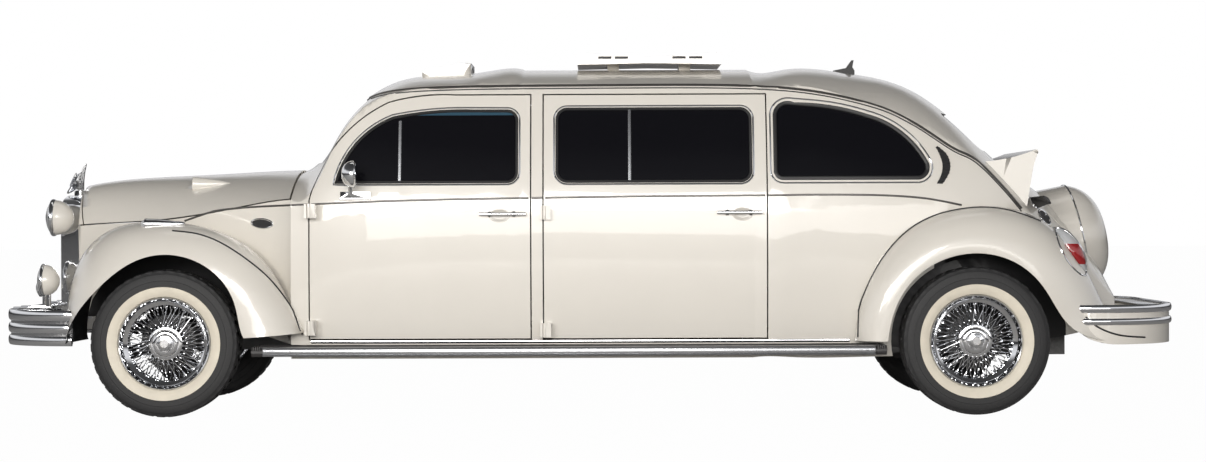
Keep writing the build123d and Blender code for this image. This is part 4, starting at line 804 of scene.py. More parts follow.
@dataclass(frozen=True)
class Paintwork:
    """The CAD nodes shown as they are, in one finish or in two.

    Attributes:
        arch_r: The radius of the part of the body inside a wheel arch that gets the black seal finish as painted
            shade.
        arch_out: How far its centre lies beyond the axle.
        arch_drop: How far its centre lies below the hub.
        arch_flats: How many flats make its half round.
        wheel_y: The place across the car that the inner faces of a fender look towards; faces turned to it get the
            black seal finish as painted shade.
        lip_x: The front of the painted lip behind the radiator shell, as the places before and after it.
        red_z: The lower and upper end of the red part of the tail lamps.
    """

    arch_r: float = 0.405
    arch_out: float = 0.042
    arch_drop: float = 0.010
    arch_flats: int = 10
    wheel_y: float = 0.48
    lip_x: tuple[float, float] = (-2.3106, -2.3104)
    red_z: tuple[float, float] = (0.645, 0.735)

    def build(self) -> None:
        """Builds the shown copies of the plain nodes and of those with several finishes."""
        for node, finish in PLAIN_NODES.items():
            Sheetmetal(node, (finish,)).build()
        # Fender faces turned to the wheels and the body inside the wheel arches get the black seal finish: painted
        # shade
        for node, axle_x in (("front_fenders", FRONT_AXLE_X), ("rear_fenders", REAR_AXLE_X)):
            Sheetmetal(node, (PAINT, SEAL), paint=partial(self.underside_shade_face, axle_x)).build()
        for node, axle_x in (("front_tub", FRONT_AXLE_X), ("tail", REAR_AXLE_X)):
            planes = self.arch_planes(axle_x)
            Sheetmetal(node, (PAINT, SEAL), planes=planes, paint=partial(self.arch_shade_face, planes)).build()
        Sheetmetal("grille", (CHROME, PAINT), paint=self.lip).build()
        Sheetmetal("wheelhouses", (STEEL,), foot=FLOOR_Z).build()
        low, high = self.red_z
        Sheetmetal("tail_lamps", (CLEAR_LENS, RED_LENS), 40.0, ((2, low), (2, high)),
                   lambda face: int(low < face.calc_center_median().z < high)).build()
        Sheetmetal("roof_fittings", (PAINT, SEAL), 30.0,
                   paint=lambda face: int(face.calc_center_median().x > 0)).build()

    def arch_planes(self, axle_x: float) -> tuple[tuple[Vector, Vector], ...]:
        """Gives a place and the way out of each plane round the arch of the wheel at axle_x."""
        centre = Vector((axle_x + copysign(self.arch_out, axle_x), 0, HUB_Z - self.arch_drop))
        turns = (pi * k / self.arch_flats for k in range(self.arch_flats + 1))
        ways = [Vector((cos(turn), 0, sin(turn))) for turn in turns]
        return tuple((centre + way * self.arch_r, way) for way in ways)

    @staticmethod
    def arch_shade_face(planes: Sequence[tuple[Vector, Vector]], face: bmesh.types.BMFace) -> int:
        """Tells whether a face of the body lies within the planes of a wheel arch, where it is painted black as
        shade.
        """
        return int(all((face.calc_center_median() - spot).dot(way) < 0 for spot, way in planes))

    def lip(self, face: bmesh.types.BMFace) -> int:
        """Tells whether a face of the radiator shell belongs to the painted lip behind it."""
        x = face.calc_center_median().x
        return int(x > self.lip_x[1] or (x > self.lip_x[0] and face.normal.x < -0.5))

    def underside_shade_face(self, axle_x: float, face: bmesh.types.BMFace) -> int:
        """Tells whether a face of a fender looks towards its wheel, where it is painted black as shade."""
        spot = face.calc_center_median()
        hub = Vector((axle_x, copysign(self.wheel_y, spot.y), HUB_Z))
        return int(face.normal.dot((spot - hub).normalized()) < -0.15)


@dataclass(frozen=True)
class Bumper:
    """A bumper bent round one end of the car, its blades crowned and its lower corners rounded."""

    node: str
    finish: Finish
    face_x: float
    end_x: float
    end_y: float
    straight_y: float
    blades: tuple[tuple[float, float], ...] = ()
    crown: float = 0.0085
    low_z: float = 0.0
    corner: tuple[float, float] = (0.17, 0.075)

    @property
    def way(self) -> int:
        """1 for the rear end, -1 for the front one."""
        return 1 if self.face_x > self.end_x else -1

    @property
    def circle(self) -> tuple[float, float, float]:
        """The centre and the radius of the bend, for positive y."""
        ax, ay, cx, cy = self.end_x, self.end_y, self.face_x, self.straight_y
        bx = cx - self.way * abs(cx - ax) / 4
        by = (self.straight_y + 3 * self.end_y) / 4
        turn = 2 * (ax * (by - cy) + bx * (cy - ay) + cx * (ay - by))
        aa, bb, cc = ax * ax + ay * ay, bx * bx + by * by, cx * cx + cy * cy
        x = (aa * (by - cy) + bb * (cy - ay) + cc * (ay - by)) / turn
        y = (aa * (cx - bx) + bb * (ax - cx) + cc * (bx - ax)) / turn
        return x, y, hypot(ax - x, ay - y)

    def inward(self, spot: Vector) -> tuple[float, Vector]:
        """Measures a place against the outer face.

        Args:
            spot: The place.

        Returns:
            How far it lies inside the outer face, and the way inwards.
        """
        if abs(spot.y) <= self.straight_y:
            return abs(spot.x - self.face_x), Vector((-self.way, 0, 0))
        side = 1 if spot.y > 0 else -1
        x, y, radius = self.circle
        gap = Vector((x - spot.x, side * y - spot.y, 0))
        return abs(radius - gap.length), gap.normalized()

    def shape(self, spot: Vector) -> Vector:
        """Sinks the edges of the blades' outer face and rounds the lower corners.

        Args:
            spot: A corner of the CAD mesh.

        Returns:
            Its new place.
        """
        depth, way = self.inward(spot)
        for low, high in self.blades:
            if depth < 0.003 and low - MERGE <= spot.z <= high + MERGE:
                share = (2 * spot.z - low - high) / (high - low)
                return spot + way * (self.crown * (1 - sqrt(max(0.0, 1 - 0.96 * share * share))))
        if self.low_z:
            reach, rise = self.corner
            share = 1 - min(1.0, max(0.0, abs(spot.x - self.end_x) / reach))
            lowest = self.low_z + rise * (1 - sqrt(1 - share * share))
            return Vector((spot.x, spot.y, max(spot.z, lowest)))
        return spot

    def build(self) -> None:
        """Builds the bumper's shown copy."""
        cuts = [(2, low + (high - low) * (1 - cos(pi * k / 8)) / 2) for low, high in self.blades
                for k in range(1, 8)]
        if self.low_z:
            cuts += [(0, self.end_x + self.way * self.corner[0] * (k / 8) ** 2) for k in range(1, 9)]
        Sheetmetal(self.node, (self.finish,), 32.0, tuple(cuts), shape=self.shape).build()


@dataclass(frozen=True)
class Lamp:
    """A bowl lamp with a bright ring and a bulging lens, turned about the X axis."""

    x_front: float
    x_back: float
    y: float
    z: float
    radius: float

    PROFILE = ((0.0, 0.0), (0.02, 0.30), (0.07, 0.55), (0.13, 0.74), (0.20, 0.88), (0.215, 0.90),
               (0.205, 0.955), (0.225, 0.985), (0.27, 1.0), (0.32, 0.985), (0.345, 0.955), (0.36, 0.93),
               (0.50, 0.90),
               (0.68, 0.79), (0.84, 0.60), (0.95, 0.34), (1.0, 0.0))
    PAINTS = (2, 2, 2, 2, 2, 1, 1, 1, 1, 1, 1, 0, 0, 0, 0, 0)

    def build(self, piece: Sculptor, side: int, bright_back: bool = False) -> None:
        """Draws the lamp.

        Args:
            piece: The piece it belongs to.
            side: -1 for the left side, 1 for the right one.
            bright_back: Whether its bowl is bright instead of painted.
        """
        length = self.x_back - self.x_front
        profile = [(w * length, r * self.radius) for w, r in self.PROFILE]
        paints = [1 if bright_back and p == 0 else p for p in self.PAINTS]
        piece.spin(profile, Vector((self.x_front, side * self.y, self.z)), Vector((1, 0, 0)), 48, paints)


@dataclass(frozen=True)
class Lamps:
    """The headlamps, the lamps on the front bumper and those on the fenders.

    Attributes:
        head: The left headlamp.
        low: The two left lamps on the bumper.
        arm_y: The inner and outer end of a headlamp's arm.
        arm_r: The arm's radius.
        post_r: The radius of a bumper lamp's post.
        foot_z: The lower and upper side of its foot.
        foot_half: Half the foot's width.
        foot_x: The front end of the foot.
        bullet: A fender lamp as pairs of place along its axis and radius.
        bullet_at: The front of the right fender lamp.
    """

    head: Lamp = Lamp(-2.447, -2.322, 0.284, 0.865, 0.084)
    low: tuple[Lamp, ...] = (Lamp(-2.450, -2.352, 0.450, 0.588, 0.074),
                             Lamp(-2.490, -2.415, 0.300, 0.552, 0.042))
    arm_y: tuple[float, float] = (0.197, 0.215)
    arm_r: float = 0.011
    post_r: float = 0.010
    foot_z: tuple[float, float] = (0.4625, 0.472)
    foot_half: float = 0.011
    foot_x: float = -2.557
    bullet: Row = ((0.0, 0.0), (0.003, 0.010), (0.010, 0.0165), (0.018, 0.0200), (0.018, 0.0235),
                   (0.026, 0.0245), (0.034, 0.0230), (0.070, 0.0225), (0.110, 0.0185), (0.150, 0.0125),
                   (0.165, 0.0120), (0.185, 0.0105), (0.198, 0.0))
    bullet_at: tuple[float, float, float] = (-1.962, 0.628, 0.8355)

    def build(self) -> None:
        """Builds all the lamps."""
        piece = Sculptor()
        for side in SIDES:
            self.head.build(piece, side)
            mid = (self.head.x_front + self.head.x_back) / 2
            arm = [Vector((mid, side * y, self.head.z)) for y in self.arm_y]
            piece.tube(arm, self.arm_r, paint=1, corners=12)
        piece.place("headlamp_pods", ROOT, "bright_chrome", [PAINT, CHROME, CLEAR_LENS], 40.0, ("headlamps",))
        piece = Sculptor()
        for side in SIDES:
            for lamp in self.low:
                lamp.build(piece, side)
                mid = (lamp.x_front + lamp.x_back) / 2
                y, (low, high) = side * lamp.y, self.foot_z
                ends = (low + 0.0015, lamp.z - lamp.radius * 0.8)
                piece.tube([Vector((mid, y, z)) for z in ends], self.post_r, paint=1, corners=12)
                piece.block((self.foot_x, y - self.foot_half, low),
                            (mid + self.post_r, y + self.foot_half, high), 0.002, paint=1)
        piece.place("bumper_lamp_bowls", ROOT, "bright_chrome", [PAINT, CHROME, CLEAR_LENS], 40.0,
                    ("bumper_lamps",))
        self.build_bullets()

    def build_bullets(self) -> None:
        """Builds the bullet lamps on top of the front fenders."""
        piece = Sculptor()
        x, y, z = self.bullet_at
        for side in SIDES:
            piece.spin(self.bullet, Vector((x, side * y, z)), Vector((1, 0, 0)), 32, (1, 1, 1) + (0,) * 9)
        piece.place("fender_lamp_bullets", ROOT, "bright_chrome", [CHROME, CLEAR_LENS], 40.0,
                    ("fender_lamps",))


@dataclass(frozen=True)
class Nose:
    """The fine pieces of the front end.

    Attributes:
        blades: The bumper.
        mesh: The lowest and the highest corner of the grille's dark back.
        marker: The side marker's place, height, half-length, half-height and lean.
        piping: The piping of the fender as pairs of x and z.
        belt: The moulding beside the hood, in the same way.
        wings: The ornament's wings, as height, lean and scale.
        wing_x: The place of their roots.
        wing: Half their width and half their thickness at the root.
    """

    blades: Bumper = Bumper("front_bumper", CHROME, -2.580, -2.250, 0.705, 0.300,
                            ((0.308, 0.350), (0.362, 0.404), (0.416, 0.462)))
    mesh: tuple[tuple[float, float, float], ...] = ((-2.3392, -0.172, 0.424), (-2.3352, 0.172, 0.925))
    marker: tuple[float, ...] = (-1.449, 0.836, 0.048, 0.020, -4.0)
    piping: Row = ((-1.815, 0.806), (-1.700, 0.790), (-1.594, 0.748), (-1.480, 0.672), (-1.387, 0.584),
                   (-1.310, 0.470), (-1.262, 0.350))
    belt: Row = ((-1.800, 0.848), (-1.670, 0.889), (-1.560, 0.903), (-1.460, 0.910), (-1.320, 0.915),
                 (-1.238, 0.918))
    wings: tuple[tuple[float, float, float], ...] = ((0.998, 38.0, 1.0), (1.030, 60.0, 0.8))
    wing_x: float = -2.384
    wing: tuple[float, float] = (0.036, 0.010)

    def build(self, skin: Skin) -> None:
        """Builds the bumper, the grille's dark back, the side marker and the fender's piping.

        Args:
            skin: The surface of the car's sides.
        """
        self.blades.build()
        self.build_wings()
        piece = Sculptor()
        piece.block(*self.mesh, 0.0015)
        piece.place("grille_mesh", ROOT, "dark_plastic", [MESH_BLACK])
        for side in SIDES:
            ring = oval(*self.marker, 36)
            Trim("marker_ring", ROOT, "bright_chrome", CHROME, 0.0042, 0.9).build(
                skin, side, ring, Edge.LOOP, 0.001)
            build_patch("marker_mesh", skin, side, ring)
            Trim("front_fender_piping", ROOT, "dark_plastic", SEAL, 0.0045, 0.8).build(
                skin, side, curve_points(self.piping))
            # The belt moulding is chrome darkened as a painted dark reflection
            Trim("nose_belt_moulding", ROOT, "bright_chrome", DARKENED_CHROME, 0.0045, 0.7).build(
                skin, side, curve_points(self.belt))

    def build_wings(self) -> None:
        """Builds the plain swept wings on both sides of the ornament's fin."""
        piece = Sculptor()
        for side in SIDES:
            for foot, lean, size in self.wings:
                stations = []
                for k in range(7):
                    share = k / 6
                    half = self.wing[0] * size * (1 - 0.6 * share ** 2)
                    thick = self.wing[1] * size * (1 - 0.7 * share)
                    out, rise = 0.003 + 0.036 * share, 0.030 * share
                    mid = Vector((self.wing_x + 0.016 * share, side * out, foot + rise))
                    turn = Matrix.Rotation(radians(-lean), 3, "Y")
                    stations.append([mid + turn @ Vector((half * cos(a), 0, thick * sin(a)))
                                     for a in (tau * q / 14 for q in range(14))])
                piece.sweep(stations)
        piece.place("ornament_wings", ROOT, "bright_chrome", [CHROME])


@dataclass(frozen=True)
class Flanks:
    """Drip rails, belt mouldings, sills and running boards of the car's body.

    Attributes:
        rail: The drip rail as pairs of x and z.
        belt: The belt moulding of the quarter panel, in the same way.
        post: The moulding between the doors.
        sill: The bright sill.
        piping: The piping of the rear fender.
        rib_y: The place of the running board's first rib.
        louvre_rear: The rear edge of the crescent vent, downwards.
        louvre_front: Its front edge, upwards.
    """

    rail: Row = ((-1.210, 1.205), (-1.150, 1.290), (-1.050, 1.368), (-0.900, 1.412), (-0.600, 1.431),
                 (0.0, 1.436), (0.600, 1.434), (0.950, 1.410), (1.239, 1.346), (1.406, 1.270),
                 (1.574, 1.160), (1.682, 1.105), (1.797, 0.995), (1.890, 0.890))
    belt: Row = ((0.766, 0.950), (0.980, 0.952), (1.250, 0.949), (1.450, 0.935), (1.613, 0.905))
    post: Row = ((-0.260, 0.9425), (-0.214, 0.943))
    sill: Row = ((-1.225, 0.3185), (1.120, 0.3185))
    piping: Row = ((1.150, 0.335), (1.160, 0.450), (1.206, 0.580), (1.280, 0.702), (1.378, 0.798),
                   (1.500, 0.862), (1.655, 0.893), (1.800, 0.884), (1.954, 0.833))
    rib_y: float = 0.600
    louvre_rear: Row = ((1.512, 1.164), (1.549, 1.132), (1.566, 1.090), (1.560, 1.045), (1.530, 0.998))
    louvre_front: Row = ((1.504, 0.999), (1.526, 1.040), (1.532, 1.085), (1.520, 1.128), (1.505, 1.158))

    def build(self, skin: Skin) -> None:
        """Builds the body's mouldings.

        Args:
            skin: The surface of the car's sides.
        """
        for side in SIDES:
            rail = curve_points(self.rail, 10)
            # The drip rail is chrome darkened as a painted dark reflection
            Trim("drip_rail", ROOT, "bright_chrome", DARKENED_CHROME, 0.0060, 0.8).build(skin, side, rail)
            under = [(x, z - 0.013) for x, z in rail]
            Trim("drip_line", ROOT, "dark_plastic", SEAL, 0.0032, 0.5).build(skin, side, under)
            # The quarter and post mouldings are chrome darkened as a painted dark reflection
            Trim("quarter_moulding", ROOT, "bright_chrome", DARKENED_CHROME, 0.0045, 0.7).build(
                skin, side, curve_points(self.belt))
            Trim("post_moulding", ROOT, "bright_chrome", DARKENED_CHROME, 0.0045, 0.7).build(
                skin, side, path_points(self.post))
            Trim("sill_moulding", ROOT, "bright_chrome", CHROME, 0.0075, 0.6).build(
                skin, side, path_points(self.sill, 0.06), lift=0.001)
            Trim("rear_fender_piping", ROOT, "dark_plastic", SEAL, 0.0045, 0.8).build(
                skin, side, curve_points(self.piping))
            self.build_quarter(skin, side)
            self.build_board(side)
            self.build_louvre(skin, side)

    def build_quarter(self, skin: Skin, side: int) -> None:
        """Builds the thick seal and the bright edge of the quarter window."""
        ring = outline_of("fixed_glass", lambda v: v.y * side > 0.45 and 0.78 < v.x < 1.475 and v.z > 1.01)
        Trim("quarter_seal", ROOT, "dark_plastic", SEAL, 0.013, 0.7).build(
            skin, side, offset_ring(ring, -0.006), Edge.LOOP, 0.005)
        Trim("quarter_bright", ROOT, "bright_chrome", CHROME, 0.0045, 0.8).build(
            skin, side, offset_ring(ring, 0.0125), Edge.LOOP, 0.0005)

    def build_board(self, side: int) -> None:
        """Builds the ribs and the bright edge of one running board."""
        low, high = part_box("running_boards")
        piece = Sculptor()
        outer_y = high.y - 0.010
        for k in range(9):
            y = side * (self.rib_y + (outer_y - self.rib_y) * k / 9)
            piece.tube([Vector((x, y, high.z)) for x in (low.x + 0.03, high.x - 0.03)], 0.0042, corners=6)
        for x in (low.x + 0.010, high.x - 0.010):
            for k in range(4):
                a = x + 0.009 * k * (1 if x < 0 else -1)
                ends = sorted((side * (outer_y - 0.16), side * (outer_y + 0.008)))
                piece.block((a - 0.002, ends[0], high.z - 0.034), (a + 0.002, ends[1], high.z + 0.003), 0.001)
        piece.place(f"board_ribs_{SIDE_NAME[side]}", ROOT, "board_rubber", [BOARD])
        piece = Sculptor()
        edge_y = side * (high.y + 0.0015)
        for z, radius in ((high.z - 0.004, 0.0060), (low.z + 0.006, 0.0045)):
            piece.tube([Vector((low.x + 0.05, edge_y, z)), Vector((high.x - 0.05, edge_y, z))], radius)
        piece.block((low.x + 0.05, min(edge_y, edge_y - side * 0.004), low.z + 0.010),
                    (high.x - 0.05, max(edge_y, edge_y - side * 0.004), high.z - 0.010), 0.001)
        piece.place(f"board_edge_{SIDE_NAME[side]}", ROOT, "bright_chrome", [SATIN_CHROME])

    def build_louvre(self, skin: Skin, side: int) -> None:
        """Builds the crescent vent behind the quarter window."""
        outer, inner = curve_points(self.louvre_rear, 6), curve_points(self.louvre_front, 6)
        piece = Sculptor()
        stations = []
        count = len(outer)
        for k in range(count):
            (ax, az), (bx, bz) = outer[k], inner[count - 1 - k]
            stations.append([skin.at(ax, az, side, -0.002), skin.at(ax, az, side, 0.0035),
                             skin.at(bx, bz, side, 0.0035), skin.at(bx, bz, side, -0.002)])
        piece.sweep(stations)
        for k in range(2, count - 2, 2):
            (ax, az), (bx, bz) = outer[k], inner[count - 1 - k]
            piece.tube([skin.at(ax, az, side, 0.004), skin.at(bx, bz, side, 0.004)], 0.003, corners=6)
        piece.place(f"crescent_louvre_{SIDE_NAME[side]}", ROOT, "dark_plastic", [SEAL])


@dataclass(frozen=True)
class Tail:
    """The fine pieces of the rear end.

    Attributes:
        blades: The bumper.
        valance: The painted apron below it.
        tray_z: The upper and lower side of the bright tray on top of the bumper.
        tray_in: How far the tray's edges lie inside the bumper's face.
        lamp: The tail lamp's place, height, half-length, half-width and lean.
        vents: The deck vents, in the same way.
        piping: The piping of the valance as pairs of x and z.
        hump: The centre of the lid's hump.
        hump_lean: How far the hump leans, in degrees.
        hump_r: The radius of the bright strip round it.
    """

    blades: Bumper = Bumper("rear_bumper", CHROME, 2.574, 2.105, 0.722, 0.330,
                            ((0.384, 0.413), (0.437, 0.471)))
    valance: Bumper = Bumper("rear_valance", PAINT, 2.574, 2.105, 0.722, 0.330, low_z=0.300)
    tray_z: tuple[float, float] = (0.4595, 0.4545)
    tray_in: tuple[float, float] = (0.030, 0.120)
    lamp: tuple[float, ...] = (2.088, 0.700, 0.1185, 0.047, 120.0)
    vents: tuple[tuple[float, ...], ...] = ((1.978, 0.918, 0.030, 0.018, 125.0),
                                            (2.012, 0.850, 0.038, 0.021, 125.0))
    piping: Row = ((2.130, 0.420), (2.190, 0.372), (2.280, 0.340), (2.400, 0.328))
    hump: tuple[float, float, float] = (2.200, 0, 0.750)
    hump_lean: float = -11.0
    hump_r: float = 0.2495

    def build(self, skin: Skin) -> None:
        """Builds the bumper, the lamp rings, the deck vents, the lid's strip and the piping.

        Args:
            skin: The surface of the car's sides.
        """
        self.blades.build()
        self.valance.build()
        self.build_bumper_top()
        for side in SIDES:
            ring = oval(*self.lamp, 44, 1.25)
            Trim("tail_lamp_ring", ROOT, "bright_chrome", CHROME, 0.0045, 0.9).build(
                skin, side, ring, Edge.LOOP)
            for k, sizes in enumerate(self.vents):
                vent = oval(*sizes, 32)
                Trim(f"deck_vent_ring_{k}", ROOT, "bright_chrome", CHROME, 0.0048, 0.9).build(
                    skin, side, vent, Edge.LOOP, 0.001)
                build_patch(f"deck_vent_mesh_{k}", skin, side, vent)
            Trim("valance_piping", ROOT, "dark_plastic", SEAL, 0.004, 0.8).build(
                skin, side, curve_points(self.piping))
        self.build_hump_strip()

    def build_bumper_top(self) -> None:
        """Builds the bright tray on top of the rear bumper."""
        band, (outer, inner) = self.valance, self.tray_in
        x, y, radius = band.circle
        start, stop = atan2(band.end_y - y, band.end_x - x), atan2(band.straight_y - y, band.face_x - x)
        piece = Sculptor()
        turns = [start + (stop - start) * k / 20 for k in range(21)]
        stations = []
        for z in self.tray_z:
            stations.append([(x + (radius - outer) * cos(a), y + (radius - outer) * sin(a), z) for a in turns]
                            + [(x + (radius - inner) * cos(a), y + (radius - inner) * sin(a), z)
                               for a in reversed(turns)])
        for side in SIDES:
            piece.sweep([[Vector((px, side * py, pz)) for px, py, pz in row] for row in stations])
        half = band.straight_y + 0.002
        piece.block((band.face_x - inner + 0.002, -half, self.tray_z[1]),
                    (band.face_x - outer - 0.001, half, self.tray_z[0]), 0.001)
        piece.place("rear_bumper_top", ROOT, "bright_chrome", [SATIN_CHROME])

    def build_hump_strip(self) -> None:
        """Builds the bright strip round the lid's hump."""
        piece = Sculptor()
        lean = Matrix.Translation(self.hump) @ Matrix.Rotation(radians(self.hump_lean), 4, "Y")
        ring = [lean @ Vector((0.012, self.hump_r * cos(a), self.hump_r * sin(a))) for a in
                (tau * k / 72 for k in range(72)) if sin(a) > -0.72]
        start = max(range(len(ring)), key=lambda k: (ring[k] - ring[k - 1]).length)
        piece.tube(ring[start:] + ring[:start], 0.0045)
        piece.place("hump_strip", "engine_lid", "bright_chrome", [CHROME])


@dataclass(frozen=True)
class Roof:
    """The fine pieces on the roof.

    Attributes:
        slots: The front and rear ends of the pod's slots.
        slot_z: Their lower and upper side.
        lip_z: The heights of the two rods round the vent's mouth.
        lip_x: Their ends and their front.
        lip_y: Half their length.
    """

    slots: Row = ((0.030, 0.090), (0.105, 0.165), (0.365, 0.425), (0.440, 0.500))
    slot_z: tuple[float, float] = (1.572, 1.583)
    lip_z: tuple[float, float] = (1.5415, 1.5555)
    lip_x: tuple[float, float] = (-0.604, -0.548)
    lip_y: float = 0.149

    def build(self) -> None:
        """Builds the pod's dark slots and the vent's bright edge."""
        _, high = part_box("roof_pod")
        piece = Sculptor()
        for x0, x1 in self.slots:
            for side in SIDES:
                y = side * (high.y - 0.0018)
                piece.block((x0, y - 0.003, self.slot_z[0]), (x1, y + 0.003, self.slot_z[1]), 0.0008)
        piece.place("pod_slots", ROOT, "dark_plastic", [SEAL])
        piece = Sculptor()
        (end_x, front_x), y = self.lip_x, self.lip_y
        for z in self.lip_z:
            route = ((end_x, -y, z), (front_x, -y, z), (front_x, y, z), (end_x, y, z))
            piece.tube([Vector(spot) for spot in route], 0.003, corners=6)
        piece.block((-0.549, -0.13, 1.530), (-0.545, 0.13, 1.552), 0.001)
        piece.place("vent_mouth", ROOT, "bright_chrome", [CHROME])


@dataclass(frozen=True)
class Cabin:
    """The padded seats and the steering wheel.

    Attributes:
        benches: The seats, as front, left edge, right edge and number of places.
        seat_z: The foot of the base, the foot of the cushions and their top.
        wheel_at: The centre of the steering wheel.
        wheel_tilt: How far its axis leans from the level, in degrees.
        wheel_r: The radius of its rim.
        boss: Its boss as pairs of place along the axis and radius.
    """

    benches: tuple[tuple[float, float, float, int], ...] = (
        (-0.830, -0.520, -0.115, 1), (-0.830, 0.115, 0.520, 1), (-0.130, -0.515, 0.515, 3),
        (0.660, -0.500, 0.500, 3))
    seat_z: tuple[float, float, float] = (0.281, 0.36, 0.528)
    wheel_at: tuple[float, float, float] = (-0.960, -0.330, 0.930)
    wheel_tilt: float = 35.0
    wheel_r: float = 0.185
    boss: Row = ((-0.034, 0.0), (-0.034, 0.028), (0.004, 0.031), (0.011, 0.024), (0.0118, 0.0))

    def build(self) -> None:
        """Builds the seats and the wheel."""
        piece = Sculptor()
        foot_z, low_z, high_z = self.seat_z
        for x, y0, y1, places in self.benches:
            piece.block((x + 0.03, y0 + 0.02, foot_z), (x + 0.60, y1 - 0.02, low_z), 0.01)
            width = (y1 - y0) / places
            for k in range(places):
                a, b = y0 + width * k + 0.003, y0 + width * (k + 1) - 0.003
                self.cushion(piece, (x, a, low_z), (x + 0.52, b, high_z), 0.0)
                self.cushion(piece, (x + 0.475, a, 0.50), (x + 0.625, b, 1.085), 7.0)
        seats = piece.place("seat_cushions", ROOT, "seat_trim", [LEATHER], 50.0, ("seats",))
        self.build_steering()

    @staticmethod
    def cushion(piece: Sculptor, low: Sequence[float], high: Sequence[float], lean: float) -> None:
        """Draws one stuffed cushion.

        Args:
            piece: The piece it belongs to.
            low: Its lowest corner.
            high: Its highest corner.
            lean: How far it leans rearwards, in degrees.
        """
        stuffed = Sculptor()
        verts = stuffed.block(low, high, 0.035, segments=3)
        edges = list({e for v in verts for e in v.link_edges})
        bmesh.ops.subdivide_edges(stuffed.bm, edges=edges, cuts=2, use_grid_fill=True)
        bmesh.ops.smooth_vert(stuffed.bm, verts=stuffed.bm.verts, factor=0.5, use_axis_x=True,
                              use_axis_y=True, use_axis_z=True)
        foot = Vector((low[0], 0, low[2]))
        bmesh.ops.rotate(stuffed.bm, cent=foot, matrix=Matrix.Rotation(radians(lean), 3, "Y"),
                         verts=stuffed.bm.verts)
        mesh = bpy.data.meshes.new("cushion")
        stuffed.bm.to_mesh(mesh)
        stuffed.bm.free()
        piece.bm.from_mesh(mesh)
        bpy.data.meshes.remove(mesh)

    def build_steering(self) -> None:
        """Builds the steering wheel with a round rim, three spokes and a boss."""
        piece = Sculptor()
        centre, tilt = Vector(self.wheel_at), radians(self.wheel_tilt)
        way = Vector((cos(tilt), 0, sin(tilt)))
        u, v = Vector((0, 1, 0)), way.cross(Vector((0, 1, 0)))

        def ray(turn: float, reach: float) -> Vector:
            """Gives the place at one angle and one radius."""
            return centre + u * (reach * cos(turn)) + v * (reach * sin(turn))

        piece.tube([ray(tau * k / 64, self.wheel_r) for k in range(64)], 0.0115, Edge.LOOP, corners=12)
        for turn in (90, 210, 330):
            piece.tube([centre, ray(radians(turn), self.wheel_r - 0.005)], 0.0075, corners=10)
        piece.spin(self.boss, centre, way, 32)
        piece.place("steering_wheel_rim", "steering_wheel", "dark_plastic", [PLASTIC], 40.0,
                    ("steering_wheel",))


@dataclass(frozen=True)
class Mirrors:
    """The glasses of the door mirrors."""

    y: float = 0.735
    z: float = 1.047
    glass: Row = ((-0.004, 0.050), (0.0015, 0.050), (0.0022, 0.046), (0.0024, 0.0))

    def build(self) -> None:
        """Builds both glasses."""
        for side in SIDES:
            node = f"door_front_trim_{SIDE_NAME[side]}"
            near = [v.co for v in frame["nodes"][node].data.vertices
                    if v.co.z > 1.0 and abs(abs(v.co.y) - self.y) < 0.075]
            rear = max(v.x for v in near)
            piece = Sculptor()
            piece.spin(self.glass, Vector((rear, side * self.y, self.z)), Vector((1, 0, 0)), 40)
            piece.place(f"mirror_glass_{SIDE_NAME[side]}", f"door_front_{SIDE_NAME[side]}", "tinted_glass",
                        [MIRROR])


